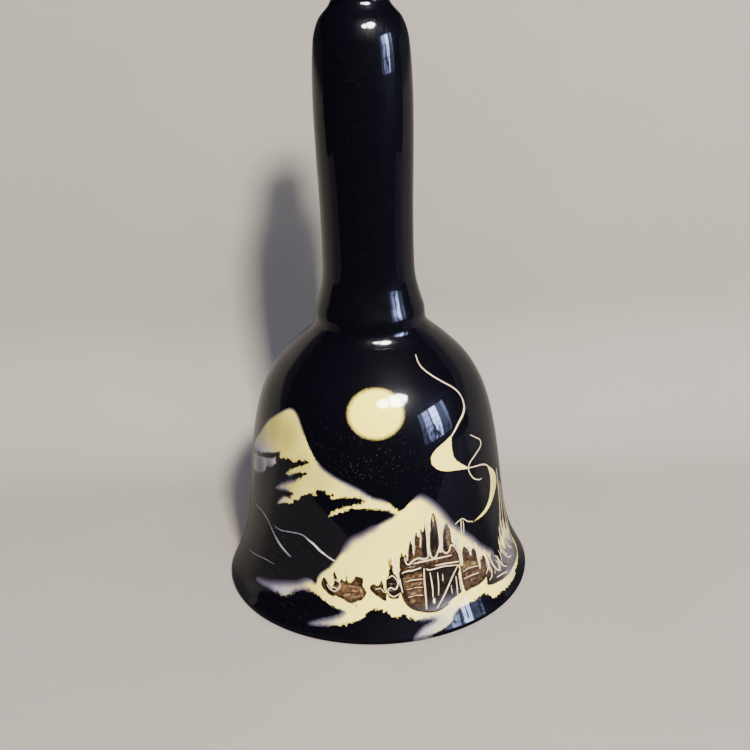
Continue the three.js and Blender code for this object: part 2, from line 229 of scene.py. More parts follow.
# Lines over which the black was airbrushed, with a soft edge: reach, softness, points.
SOFT_EDGES = [
    (1.6, 0.35, [(-70, 43), (-62, 47.4), (-55, 50), (-48, 52), (-42.5, 51.6), (-36, 48.5)]),
    (2.2, 0.5, [(-24, 41.5), (-18, 39.6), (-12, 38.2), (-5, 36.4), (2, 34.4)]),
    (2.2, 0.6, [(-50, 31), (-46, 33.6), (-40, 36)]),
    (2.4, 0.45, [(4.5, 29.6), (-2, 27.6), (-8, 25.4)]),
    (2.4, 1.0, [(-3, 27.2), (-10, 25.0), (-13, 22.6)]),
    (1.3, 0.3, [(-10, 25), (-18, 19), (-25, 14.5)]),
    (2.2, 0.95, [(20, 34), (26, 31), (32, 26.5), (40, 21.6), (47, 17.2), (55, 13)]),
    (2.8, 1.0, [(-33, 12.4), (-38, 11.6), (-48, 9.6), (-58, 7.8)]),
    (1.5, 0.8, [(-27, 3.4), (-20, 5.0), (-15, 6.2)]),
    (2.2, 0.6, [(10, 1.2), (15, 3.0), (20, 4.2), (25, 5)]),
]
# Lines along which the black was brushed with a ragged edge.
RAGGED_EDGES = [
    [(-72, 38), (-60, 39.8), (-50, 41), (-42, 41), (-31, 41.4)],
    [(-75, 36.0), (-66, 37.0), (-57, 38.6), (-52, 39.0), (-55, 37.0), (-60, 35.2), (-68, 32.6)],
    [(-31, 41.4), (-38, 39), (-44, 37.6), (-36, 38.4), (-32, 38.8), (-40, 36.4), (-50, 33)],
    [(-50, 32.4), (-42, 33.2), (-40, 31.2), (-36, 31.8), (-30, 34.4), (-22, 35.2), (-18, 35.0)],
    [(-20, 33.9), (-12, 34.4), (-5.6, 34.2), (-11, 32.8), (-20, 30)],
    [(-20, 29.8), (-14, 31.3), (-6, 32.1), (1, 31.8), (8, 30.4)],
    [(-58, 6.9), (-47, 7.1), (-41, 7.2), (-34, 9.6), (-28, 10.2), (-21, 8.6), (-14.4, 7.1)],
    [(-14.4, 7.1), (-19, 5.4), (-26, 3.6)],
    [(-24, 3.5), (-14, 4.3), (-6.3, 6.2), (-3, 7.9), (2.3, 7.2), (8, 6.3), (10.6, 5.5), (20, 4.3)],
    [(33, 8.1), (41, 8.0), (46, 6), (54, 5.0)],
    [(30, 4.6), (37, 5.0), (44, 5.5), (48.5, 3.4), (64, 3.6), (70, 5.2)],
]
# Grey veils of overspray on the snow, nearly black at 2: azimuth, height, reach, strength.
VEILS = [
    (12, 1.6, 3.0, 0.9), (17, 2.2, 3.4, 0.95), (22, 3.2, 3.2, 0.85), (27, 4.4, 2.8, 0.6),
    (32, 5.6, 2.4, 0.3), (25, 31.2, 2.2, 0.35), (31, 27.0, 2.4, 0.45), (37, 23.0, 2.4, 0.4),
    (44, 19.0, 2.2, 0.35), (-8, 25.2, 1.8, 0.45), (-2, 27.2, 1.6, 0.4), (-10, 37.4, 1.5, 0.5),
    (-3, 35.4, 1.4, 0.5), (-38, 10.2, 3.0, 0.8), (-44, 9.0, 3.4, 1.15), (-51, 8.2, 4.0, 1.6),
    (-58, 7.4, 4.0, 1.9), (-34, 12.2, 2.0, 0.4), (-25, 4.0, 2.6, 0.95), (-20, 4.6, 2.2, 0.7),
    (-49, 31.0, 3.4, 0.9), (-46, 35.2, 2.2, 0.5), (-50, 29.4, 3.0, 0.8), (66, 28.0, 5.0, 0.3),
    (60, 9.0, 3.4, 0.2), (70, 9.0, 6.0, 0.3), (67, 16.0, 4.0, 0.75), (76, 12.0, 4.0, 0.6),
    (54, 11.0, 2.4, 0.2), (64, 3.6, 3.0, 0.5),
    (-66, 35.0, 6.0, 1.8), (-57, 37.4, 3.4, 1.7),
]
# Painted shade: spots where the cream is darker because less light falls there, on the left of the drawing:
# azimuth, height, reach, strength.
SHADE_SPOTS = [
    (-66, 44.0, 9.0, 1.0), (-56, 46.0, 9.0, 1.0), (-46, 46.0, 8.0, 0.95), (-44, 36.0, 7.0, 0.9),
    (-36, 40.0, 7.0, 0.8), (-26, 38.0, 6.0, 0.7), (-14, 34.0, 5.0, 0.4), (-40, 9.0, 9.0, 0.8),
    (-24, 12.0, 6.0, 0.3),
]
# Specks of white overspray on the black: azimuth, height, reach, strength.
DUST = [
    (-1, 44.5, 7.0, 1.0), (-12, 42, 5.0, 0.4), (11, 44, 5.0, 0.35), (-30, 24, 12.0, 0.15),
    (-52, 16, 12.0, 0.55), (-40, 5, 9.0, 0.3), (30, 36, 9.0, 0.3), (-60, 34, 8.0, 0.5),
    (-26, 46, 6.0, 0.4), (60, 20, 9.0, 0.5),
]
# Line work: width, points. Cream lines are left bare, brown ones drawn and grey ones scratched.
CREAM_LINES = [
    # smoke
    (0.4, [
        (36.4, 62.7), (35.0, 61.4), (35.8, 60.2), (39.6, 58.5), (44.2, 56.9), (49.4, 55.1),
        (52.2, 53.4), (52.7, 51.4), (50.6, 49.8),
    ]),
    (0.62, [(52.7, 51.9), (52.0, 50.4), (49.6, 49.2), (44.6, 47.7), (38.3, 45.5)]),
    (0.34, [
        (50.8, 43.9), (54.4, 42.6), (57.9, 41.2), (57.3, 39.8), (51.8, 38.7), (47, 37.5), (46, 36),
        (48.6, 33.6), (52.6, 32.3), (54.8, 32.2),
    ]),
    (0.36, [(42, 37.1), (50.6, 36.1), (57, 35.2), (61.5, 33.8), (64.5, 31.4)]),
    # frost and drips on the right
    (0.5, [(72.4, 30.5), (72.8, 27), (72.6, 23.6), (71.4, 20.2), (68.6, 17.0), (66.2, 15.0)]),
    (0.36, [(76, 26), (75.4, 21), (72.8, 16.2), (69.4, 12.8)]),
    (0.32, [(80, 24), (79.4, 18), (77.2, 13.6), (74.4, 10.6)]),
    (0.3, [(84, 20), (83, 15), (80, 10.6)]),
    # twigs on the roof
    (0.3, [(38.5, 25.3), (38.4, 23.4), (38.1, 21.0)]),
    (0.26, [(38.6, 25.2), (37.0, 24.9), (35.2, 24.5)]),
    (0.26, [(38.7, 25.3), (40.4, 24.8), (42.4, 23.8), (45.6, 23.1)]),
    (0.22, [(39.7, 24.6), (39.8, 23.0), (39.4, 21.2)]),
    # icicles
    (0.95, [(20.4, 28.6), (21.1, 26.6), (21.5, 23.4), (21.4, 20.6), (21.3, 18.8)]),
    (1.2, [(26.2, 27.6), (27.0, 25.2), (27.5, 22.4), (27.2, 20.2), (26.7, 18.9)]),
    (0.7, [(14.8, 24.8), (15.0, 22.4), (14.8, 20.0)]),
    (0.5, [(11.9, 21.6), (12.1, 20.0), (11.8, 18.7)]),
    (0.5, [(18.0, 25.6), (18.0, 23.4), (17.8, 21.4)]),
    (1.2, [(33.6, 23.6), (34.8, 21.6), (35.9, 18.6), (36.4, 15.6), (36.5, 13.8)]),
    (0.5, [(33.2, 22.6), (33.8, 20.6), (33.8, 19.2)]),
    (0.8, [(40.8, 19.0), (41.6, 17.2), (41.9, 15.2)]),
    (0.9, [(45.4, 17.6), (45.9, 15.0), (46.0, 12.8), (45.8, 11.0)]),
    (0.85, [(50.4, 14.6), (51.2, 12.4), (51.4, 10.8), (51.2, 9.4)]),
    (0.45, [(47.6, 15.8), (48.0, 14.0), (47.8, 12.8)]),
    (0.6, [(6.6, 20.2), (7.2, 17.6), (7.9, 14.8), (8.6, 12.4), (9.0, 11.2)]),
    # the gable's lower edge
    (0.42, [
        (10.8, 19.6), (11.4, 18.0), (12.6, 17.7), (14.2, 18.4), (16.6, 18.8), (18.6, 18.4),
        (20.6, 18.4), (21.4, 19.4),
    ]),
    (0.45, [(21.7, 20.6), (22.4, 18.4), (23.9, 18.0), (25.4, 19.1), (26.6, 20.6), (27.2, 22.6)]),
    (0.4, [
        (27.0, 20.6), (27.9, 19.1), (29.4, 18.3), (30.9, 18.6), (32.2, 19.8), (34.0, 19.0),
        (35.3, 17.2),
    ]),
    # beams, and the door
    (0.44, [(9.3, 15.8), (11.3, 16.1), (14.1, 16.1), (17.5, 16.4)]),
    (0.38, [(14.3, 17.7), (18.7, 17.8), (24.7, 17.7), (32, 17.3)]),
    (0.36, [(23.6, 16.1), (29, 15.8), (35.3, 15.1)]),
    (0.45, [(18.7, 16.1), (18.4, 13.3), (18.2, 9.4), (17.8, 6.6)]),
    (0.34, [(19.5, 15.9), (21.2, 15.4), (27.4, 15.3), (34.4, 14.4)]),
    (0.4, [(34.3, 14.3), (30.5, 11.9), (26.4, 9.0), (22.1, 6.4)]),
    (0.32, [(21.1, 14.8), (21.5, 11.3), (21.1, 8.9)]),
    (0.28, [(24.4, 14.3), (24.3, 11.7), (23.5, 9.0)]),
    (0.24, [(26.6, 13.6), (26.4, 11.9)]),
    (0.3, [(32.6, 12.0), (32.3, 9.8), (31.7, 7.8)]),
    (0.22, [(34.1, 12.6), (34.0, 10.4), (33.7, 8.7)]),
    (0.18, [(29.7, 10.4), (29.5, 8.4)]),
    (0.7, [(21.5, 8.7), (21.2, 7.5)]),
    # edges of the logs
    (0.26, [(10.2, 13.6), (14, 13.8), (17.8, 13.6)]),
    (0.24, [(10.6, 11.8), (14, 11.9), (17.4, 11.7)]),
    (0.24, [(11.2, 10.0), (14, 10.1), (17, 9.9)]),
    (0.24, [(36.4, 12.3), (40, 12.5), (44.8, 11.9)]),
    (0.22, [(36.2, 10.6), (40.4, 10.6), (44.6, 10.2)]),
    (0.3, [(35.2, 13.6), (34.9, 11.0), (34.7, 8.6)]),
    # loops in the spruce and the brush
    (0.36, [
        (3.4, 14.8), (5.4, 15.4), (7.4, 13.8), (6.4, 12.2), (4.2, 12.6), (3.2, 11.6), (5.4, 10.5),
        (8.2, 11.2),
    ]),
    (0.3, [
        (-19.8, 13.2), (-18.1, 14.1), (-16.0, 13.4), (-16.6, 12.1), (-18.8, 12.3), (-20.0, 11.6),
    ]),
    (0.26, [(-21.6, 12.8), (-20.2, 11.8), (-18.0, 11.4), (-16.6, 12.0)]),
    (0.26, [(-1.6, 12.4), (0.4, 12.6), (1.8, 11.6)]),
    (0.34, [(48.4, 8.9), (50.6, 9.9), (52.2, 9.2), (51.2, 7.6), (49.2, 7.2)]),
    (0.4, [(53, 12.2), (54.4, 9.4), (56.6, 7.6), (58, 8.6), (56.8, 10.2)]),
    (0.36, [(58.4, 10.8), (60.2, 8.0), (63.2, 6.6)]),
    (0.4, [(62.6, 13.2), (64.4, 9.8), (67.6, 7.6), (70.4, 7.2)]),
    (0.32, [(68.4, 13.6), (70.0, 10.4), (73.0, 8.2)]),
    (0.34, [(54, 6.6), (58.4, 6.2), (62, 5.6)]),
    (0.24, [(50.6, 12.4), (50.2, 10.2), (51.8, 8.4)]),
    (0.22, [(53.8, 12.4), (53.0, 10.6), (54.6, 8.8), (53.6, 7.6)]),
    (0.24, [(57.2, 11.2), (58.8, 9.2), (57.8, 7.0)]),
    (0.22, [(60.8, 11.6), (61.4, 9.4), (60.2, 7.6)]),
    (0.26, [(64.8, 11.4), (65.8, 9.2), (67.6, 8.6)]),
    (0.24, [(71.4, 11.8), (72.4, 9.2), (75.4, 7.6)]),
    (0.22, [(75.6, 11.4), (77.0, 9.0), (79.0, 7.8)]),
]
BROWN_LINES = [
    (0.34, [(9.0, 16.6), (12.2, 16.9), (14.6, 16.8), (18.0, 17.0)]),
    (0.3, [(19, 16.5), (24, 16.7), (30, 16.4), (34.8, 15.8)]),
    (0.55, [
        (8.5, 16.4), (8.1, 14.2), (8.6, 12.0), (9.2, 10.0), (10.7, 8.3), (12.9, 7.2), (15.8, 6.5),
        (19.4, 5.9), (23.4, 5.9), (27.8, 6.7),
    ]),
    (0.3, [(18.9, 14.6), (18.8, 11), (18.4, 7.0)]),
    (0.36, [(23.4, 25.4), (22.6, 23.6), (22.0, 20.8), (22.7, 19.0)]),
    (0.34, [(24.9, 28.6), (25.8, 26.0), (26.1, 23.0), (25.6, 20.4)]),
    (0.3, [(29.2, 24.6), (28.5, 22.4), (28.2, 20.6)]),
    (0.26, [(31.8, 24.0), (32.3, 22.2), (32.3, 20.8)]),
    (0.34, [(13.4, 23.2), (12.4, 20.0), (12.2, 18.4)]),
    (0.3, [(16.2, 25.2), (15.2, 21.6), (15.3, 19.4)]),
    (0.28, [(18.4, 25.8), (17.4, 22.0), (17.2, 19.6)]),
    (0.3, [(9.6, 20.8), (9.0, 18.4), (8.8, 17.0)]),
    (0.44, [(9.8, 13.5), (14, 13.6), (17.9, 13.4)]),
    (0.36, [(10.2, 11.9), (13.6, 11.9), (17.5, 11.6)]),
    (0.36, [(10.8, 10.1), (13.6, 10.1), (17.2, 9.8)]),
    (0.34, [(12.2, 8.4), (14.6, 8.3), (17.0, 8.0)]),
    (0.4, [(35.9, 14.2), (40, 14.6), (45, 13.8)]),
    (0.34, [(36.0, 11.9), (40.4, 12.0), (45.4, 11.4)]),
    (0.34, [(36, 10.0), (40.4, 10.1), (46.4, 9.5), (50.6, 9.4)]),
    (0.34, [(35.4, 8.3), (39, 8.0), (44, 7.8)]),
    (0.5, [(48.6, 12.9), (49.4, 11.0), (49.2, 9.4)]),
    (0.4, [(38.7, 18.2), (38.4, 16.4), (38.6, 14.8)]),
    (0.42, [(-23.4, 13.8), (-22.6, 12.2), (-20.8, 10.8), (-18, 10.2)]),
    (0.34, [(-18.9, 15.6), (-17.8, 13.8), (-15.6, 13.2)]),
    (0.26, [(-15, 14.0), (-12.4, 13.4), (-10, 13.9)]),
    (0.26, [(-14.6, 11.4), (-10.6, 11.6), (-6.6, 11.2)]),
    (0.22, [(-13.6, 10.4), (-11.4, 9.3), (-9.8, 8.8)]),
    (0.22, [(-9.0, 9.2), (-9.4, 7.9)]),
    (0.3, [(-3.8, 12.6), (-1.8, 11.4), (1.6, 10.7)]),
    (0.3, [(0.8, 14.6), (0.6, 12.8), (1.2, 11.4)]),
    (0.4, [(3.4, 13.8), (4.6, 13.4), (6.4, 13.6)]),
    (0.4, [(2.8, 12.1), (5, 11.8), (7.8, 12.2)]),
    (0.36, [(47.2, 6.6), (49, 8.6), (51.4, 9.2)]),
    (0.34, [(52.0, 12.2), (53.2, 9.8), (54.6, 8.0)]),
    (0.34, [(60.2, 10.2), (61.6, 8.0), (63.8, 6.8)]),
]
GREY_LINES = [
    (0.4, [
        (-71, 23.6), (-62.5, 24.0), (-56, 22.9), (-51.5, 20.8), (-48.9, 19.7), (-44.2, 18.0),
        (-39.6, 16.9),
    ]),
    (0.75, [(-52, 21.1), (-48.9, 19.7), (-44.2, 18.0), (-39.6, 16.9)]),
    (0.36, [
        (-50.6, 22.5), (-46, 22.4), (-39.8, 23.1), (-34.3, 23.4), (-30.8, 22.7), (-26.7, 21.3),
        (-22.8, 19.9), (-18.3, 18.8),
    ]),
    (0.24, [(-71, 10.8), (-62.9, 11.9), (-55.7, 12.8), (-49.0, 13.1)]),
]
PALE_BRANCHES = [
    (0.62, [(-31.5, 22.8), (-28, 21.8), (-24.8, 20.5), (-22.4, 19.8)]),
    (0.42, [(-23.4, 20.1), (-20.6, 19.2), (-18.0, 18.6)]),
    (0.4, [(-48.4, 19.5), (-45.4, 18.4), (-42.6, 17.7)]),
]
GOLD_LINES = [
    (0.6, [(4.9, 19.8), (4.9, 18.2)]),
    (0.4, [(24.2, 28.6), (24.4, 26.8)]),
]

# ---- The seam and the fittings inside ----
# The staple, the links and the pin hang in upright planes, turn and turn about.
WIRE_RADIUS = 0.59
FRAME_WIRE_RADIUS = 0.6
LINK_BEND_RADIUS = 1.9
LINK_COUNT = 3
EYE_RADIUS = 2.0
BEAD_BORE_RADIUS = 0.9
STAPLE_TURN = 45.0
# One leg of the split pin: across from the axis, and above the bottom of its eye.
STAPLE_LEG = [
    (3.8, 17.1), (2.3, 16.3), (1.1, 15.1), (0.75, 13.5), (0.75, 11.5), (0.75, 9.5), (0.75, 7.3),
    (0.75, 5.1), (1.45, 4.0), (2.1, 2.8), (1.95, 1.3), (1.1, 0.27),
]
# The pin's end, hammered flat under the bead: radius, height from its lowest point.
PEENED_HEAD = [
    (0, 0), (0.45, 0.04), (0.9, 0.2), (1.28, 0.46), (1.46, 0.76), (1.48, 1.0), (1.36, 1.17),
    (1.1, 1.2), (0, 1.2),
]
# The plug of plaster: radius, height from the crown's underside for the lower pad.
LOWER_PAD = [
    (0.0, -2.2), (2.8, -2.18), (4.1, -1.86), (5.1, -1.3), (5.9, -0.7), (6.15, -0.42), (6.15, -0.3),
]
# The same for the upper pad, from the seat.
UPPER_PAD = [
    (5.35, 0.3), (5.2, 0.7), (4.7, 1.2), (4.0, 1.65), (3.1, 2.0), (2.1, 2.18), (0.0, 2.2),
]
# The seam of glaze round the handle's foot: radius, height from the seat.
SEAM_FACE = [
    (14.9, -2.2), (14.5, -1.79), (14.25, -1.49), (14.01, -1.17), (13.79, -0.84), (13.59, -0.49),
    (13.41, -0.13), (13.27, 0.25), (13.17, 0.73), (13.13, 1.24), (13.06, 1.62),
]
SEAM_BACK = [(12.6, 1.5), (12.3, -0.8), (13.8, -2.1)]


# ---- What the glaze mirrors, in metres and degrees ----
# Bulbs: name, turn to the right, rise, width, height, brightness.
BULBS = [("bulb_right", 31, 43.5, 0.66, 0.44, 150.0), ("bulb_left", 13, 43.0, 0.42, 0.3, 110.0)]
WINDOW_SIZE = (0.54, 0.4)
# Columns of panes: where each starts across the window, and how bright it is.
WINDOW_COLUMNS = [(0.0, 0.05), (0.16, 0.3), (0.36, 0.0), (0.41, 1.0), (0.66, 0.04), (0.88, 0.12)]
ROOM_DARK = (0.004, 0.004, 0.006)
ROOM_FILL = (0.065, 0.08, 0.19)

# ---- Fixed tones of the finishes ----
CLOUDED_CREAM = (0.86, 0.72, 0.2)
# Painted shade: the tone the cream goes to where less light falls.
SHADED_CREAM = (0.37, 0.31, 0.068)
THICK_VEIL = (0.02, 0.019, 0.025)
PALE_SPECK = (0.45, 0.43, 0.42)
LINING = (0.62, 0.57, 0.43)
LINING_LIGHT = (0.7, 0.65, 0.5)
FOOT_BARE = (0.5, 0.45, 0.35)
FOOT_DIRTY = (0.3, 0.26, 0.2)
MIDDLE_WASH = (0.07, 0.04, 0.02)
DARKEST_WASH = (0.007, 0.005, 0.004)
TARNISH = (0.22, 0.13, 0.06)
DAMP_CEMENT = (0.42, 0.37, 0.28)
BEAD_CREAM = (0.78, 0.72, 0.54)
BEAD_SHADE = (0.68, 0.61, 0.43)
BEAD_SPECK = (0.2, 0.14, 0.08)


class BellSizes(bpy.types.PropertyGroup):
    """Sizes of the fine pieces."""

    art_pitch: FloatProperty(
        name="Drawing pitch", description="Spacing of the shell's points under the drawing",
        default=0.25 * MM, min=0.2 * MM, unit="LENGTH",
    )
    line_height: FloatProperty(
        name="Line height", description="How far a drawn line stands proud of the glaze",
        default=0.016 * MM, min=0.0, unit="LENGTH",
    )
    wire_sides: IntProperty(
        name="Wire sides", description="Sides of the round wire in the fittings",
        default=14, min=6, max=48,
    )


class BellColours(bpy.types.PropertyGroup):
    """Colours of the glaze, the drawing and the fittings."""

    black: FloatVectorProperty(
        name="Black glaze", description="Glaze over the outside", subtype="COLOR",
        default=(0.0016, 0.0014, 0.003),
    )
    cream: FloatVectorProperty(
        name="Cream", description="Body colour where the black was left off", subtype="COLOR",
        default=(1.0, 0.86, 0.18),
    )
    moon: FloatVectorProperty(
        name="Moon", description="Body colour inside the moon", subtype="COLOR",
        default=(1.0, 0.88, 0.085),
    )
    overspray: FloatVectorProperty(
        name="Overspray", description="Cream seen through a thin mist of black", subtype="COLOR",
        default=(0.25, 0.22, 0.33),
    )
    veil: FloatVectorProperty(
        name="Veil", description="Cream under a grey veil of overspray", subtype="COLOR",
        default=(0.3, 0.285, 0.35),
    )
    tan: FloatVectorProperty(
        name="Tan wash", description="Light brown wash", subtype="COLOR",
        default=(0.18, 0.115, 0.054),
    )
    umber: FloatVectorProperty(
        name="Umber wash", description="Dark brown wash", subtype="COLOR",
        default=(0.027, 0.014, 0.007),
    )
    gold: FloatVectorProperty(
        name="Ochre", description="Touches of ochre", subtype="COLOR", default=(0.72, 0.47, 0.1),
    )
    brass: FloatVectorProperty(
        name="Brass", description="Wire of the staple, chain and pin", subtype="COLOR",
        default=(0.66, 0.47, 0.2),
    )
    cement: FloatVectorProperty(
        name="Cement", description="Setting plaster in the crown", subtype="COLOR",
        default=(0.6, 0.55, 0.44),
    )
    floor: FloatVectorProperty(
        name="Floor", description="Floor and backdrop", subtype="COLOR",
        default=(0.262, 0.243, 0.211),
    )


class BellStage(bpy.types.PropertyGroup):
    """The camera and the light."""

    camera_distance: FloatProperty(
        name="Camera distance", description="In front of the bell's axis",
        default=0.271, unit="LENGTH",
    )
    camera_height: FloatProperty(
        name="Camera height", description="Above the floor", default=0.1645, unit="LENGTH",
    )
    camera_pitch: FloatProperty(
        name="Camera pitch", description="How far it looks down", default=math.radians(22.5),
        subtype="ANGLE",
    )
    camera_roll: FloatProperty(
        name="Camera roll", description="How far the bell leans left in the picture",
        default=math.radians(1.9), subtype="ANGLE",
    )
    camera_yaw: FloatProperty(
        name="Camera yaw", description="How far it looks right of the axis",
        default=math.radians(0.14), subtype="ANGLE",
    )
    lens: FloatProperty(
        name="Lens", description="Focal length in mm on a 36 mm sensor", default=57.6,
    )
    soft_power: FloatProperty(
        name="Soft light", description="Power of the soft light overhead", default=3.2,
        unit="POWER",
    )
    key_power: FloatProperty(
        name="Key light", description="Power of the light that throws the shadow", default=42.0,
        unit="POWER",
    )
    window_power: FloatProperty(
        name="Window light", description="Power of the cool light from the right", default=1.6,
        unit="POWER",
    )


# ---- Lines and outlines ----
def curve_through(points, count, closed=False):
    """A uniform Catmull-Rom curve through the points, with count steps between neighbours."""
    points = np.asarray(points, float)
    if closed:
        padded = np.concatenate([points[-1:], points, points[:2]])
    else:
        first = 2 * points[0] - points[1] if len(points) < 3 else points[0]
        padded = np.concatenate([[first], points, points[-1:]])
    steps = np.linspace(0, 1, count, endpoint=False)[:, None]
    out = []
    for p0, p1, p2, p3 in zip(padded, padded[1:], padded[2:], padded[3:]):
        v0, v1 = (p2 - p0) / 2, (p3 - p1) / 2
        out.append(
            (2 * p1 - 2 * p2 + v0 + v1) * steps**3
            + (-3 * p1 + 3 * p2 - 2 * v0 - v1) * steps**2 + v0 * steps + p1
        )
    if not closed:
        out.append(points[-1:])
    return np.concatenate(out)


def arc_length(line):
    """Length along the line at each of its points."""
    return np.concatenate([[0], np.cumsum(np.linalg.norm(np.diff(line, axis=0), axis=1))])


def evenly(line, count):
    """The line with count points at even spacing."""
    along = arc_length(line)
    at = np.linspace(0, along[-1], count)
    return np.stack([np.interp(at, along, line[:, i]) for i in range(line.shape[1])], axis=1)


def inside_of(line, thickness):
    """The line a wall's thickness to the left of another."""
    way = np.gradient(line, axis=0)
    way /= np.linalg.norm(way, axis=1)[:, None]
    return line + thickness * np.stack([-way[:, 1], way[:, 0]], axis=1)


def shell_outside():
    """The shell's outside from the lip up to the shoulder, in mm, finely divided."""
    outline = [(r * MOUTH_RADIUS, z * SEAT_HEIGHT) for r, z in SHELL_OUTLINE]
    return curve_through(outline, 40)


OUTSIDE = shell_outside()
OUTSIDE_LENGTH = arc_length(OUTSIDE)


def radius_at(height):
    """The shell's outside radius at a height, in mm."""
    return np.interp(height, OUTSIDE[:, 1], OUTSIDE[:, 0])


def on_shell(azimuth, height):
    """The point of the shell's outside, and the outward normal there, in mm."""
    angle = np.radians(azimuth)
    r = radius_at(height)
    slope = (radius_at(height + 0.2) - radius_at(height - 0.2)) / 0.4
    place = np.stack([r * np.sin(angle), -r * np.cos(angle), np.asarray(height, float)], axis=-1)
    normal = np.stack([np.sin(angle), -np.cos(angle), -slope], axis=-1)
    return place, normal / np.linalg.norm(normal, axis=-1)[..., None]


FLAT_RADIUS = 30.0


def flat(azimuth, height):
    """(azimuth, height) laid out flat in mm: round the bell, and along its wall."""
    along = np.interp(height, OUTSIDE[:, 1], OUTSIDE_LENGTH)
    return np.stack([np.radians(azimuth) * FLAT_RADIUS, along], axis=-1)


def distance_to_line(places, line):
    """Distance of flat places to an open or closed line of flat points."""
    best = np.full(len(places), 1e9)
    for a, b in zip(line, line[1:]):
        way = b - a
        share = np.clip((places - a) @ way / max(way @ way, 1e-12), 0, 1)
        best = np.minimum(best, np.linalg.norm(places - a - share[:, None] * way, axis=1))
    return best


def depth_inside(places, outline):
    """How deep flat places are inside a closed outline, and negative outside it."""
    closed = np.concatenate([outline, outline[:1]])
    inside = np.zeros(len(places), bool)
    for (x0, y0), (x1, y1) in zip(closed, closed[1:]):
        if y0 == y1:
            continue
        between = (places[:, 1] >= min(y0, y1)) & (places[:, 1] < max(y0, y1))
        inside ^= between & (places[:, 0] < x0 + (places[:, 1] - y0) * (x1 - x0) / (y1 - y0))
    distance = distance_to_line(places, closed)
    return np.where(inside, distance, -distance)


def drawn_outline(points):
    """A drawn closed outline, rounded a little between its points and laid out flat."""
    smooth = curve_through(points, 3, closed=True)
    return flat(smooth[:, 0], smooth[:, 1])


def spots(places, table):
    """Soft round spots on flat places, the strongest of them at each place."""
    share = np.zeros(len(places))
    for turn, up, reach, strength in table:
        distance = np.linalg.norm(places - flat(turn, up), axis=1)
        share = np.maximum(share, strength * np.exp(-((distance / reach) ** 2)))
    return share


def drawing_fields(azimuth, height):
    """The drawing as fields over the shell's outside: mm inside each kind of mark, and shares."""
    places = flat(azimuth, height)
    solid, _ = on_shell(azimuth, height)
    centre, _ = on_shell(*MOON_CENTRE)
    moon = MOON_RADIUS - np.linalg.norm((solid - centre) * (1, 1, MOON_SQUASH), axis=1)
    snow = np.full(len(places), -9.0)
    for outline in SNOW.values():
        snow = np.maximum(snow, depth_inside(places, drawn_outline(outline)))
    wood = np.full(len(places), -9.0)
    wash = np.full(len(places), 0.4)
    for darkness, outline in WASH:
        depth = depth_inside(places, drawn_outline(outline))
        share = np.clip(depth / 0.5 + 0.5, 0, 1)
        wash = wash * (1 - share) + darkness * share
        wood = np.maximum(wood, depth)
    soft = np.zeros(len(places))
    for reach, softness, points in SOFT_EDGES:
        line = curve_through(points, 4)
        distance = distance_to_line(places, flat(line[:, 0], line[:, 1]))
        soft = np.maximum(soft, softness * np.exp(-((distance / reach) ** 2)))
    ragged = np.zeros(len(places))
    for points in RAGGED_EDGES:
        line = np.array(points, float)
        distance = distance_to_line(places, flat(line[:, 0], line[:, 1]))
        ragged = np.maximum(ragged, np.exp(-((distance / 2.0) ** 4)))
    # The share kept as "thin" is painted shade that darkens the cream on the left.
    return {
        "moon": moon, "snow": snow, "wood": wood, "wash": wash, "soft": soft, "ragged": ragged,
        "veil": spots(places, VEILS), "dust": spots(places, DUST), "thin": spots(places, SHADE_SPOTS),
    }


# ---- Meshes ----
def mesh_object(name, points, faces, smooth=True):
    """A new object in the scene. Points are in mm."""
    mesh = bpy.data.meshes.new(name)
    mesh.from_pydata((np.asarray(points) * MM).tolist(), [], faces)
    mesh.polygons.foreach_set("use_smooth", [smooth] * len(mesh.polygons))
    mesh.update()
    piece = bpy.data.objects.new(name, mesh)
    bpy.context.scene.collection.objects.link(piece)
    return piece


def turned(name, profile, azimuths):
    """Turns a profile of (radius, height) round the axis: closed, or with both ends on the axis."""
    profile = np.asarray(profile, float)
    azimuths = np.asarray(azimuths, float)
    capped = profile[0, 0] < 1e-6
    rings = profile[1:-1] if capped else profile
    angle = np.radians(azimuths)
    points = np.stack(
        [
            np.outer(rings[:, 0], np.sin(angle)).ravel(),
            np.outer(rings[:, 0], -np.cos(angle)).ravel(),
            np.repeat(rings[:, 1], len(angle)),
        ],
        axis=1,
    )
    wide, high = len(azimuths), len(rings)
    rows = np.arange(high - 1 if capped else high)
    here = (rows[:, None] * wide + np.arange(wide)).ravel()
    beside = (rows[:, None] * wide + (np.arange(wide) + 1) % wide).ravel()
    up = (here + wide) % (high * wide)
    beside_up = (beside + wide) % (high * wide)
    faces = np.stack([here, beside, beside_up, up], axis=1).tolist()
    if capped:
        start, end = len(points), len(points) + 1
        points = np.concatenate([points, [[0, 0, profile[0, 1]], [0, 0, profile[-1, 1]]]])
        last = (high - 1) * wide
        for i in range(wide):
            j = (i + 1) % wide
            faces.append([start, j, i])
            faces.append([end, last + i, last + j])
    return mesh_object(name, points, faces)


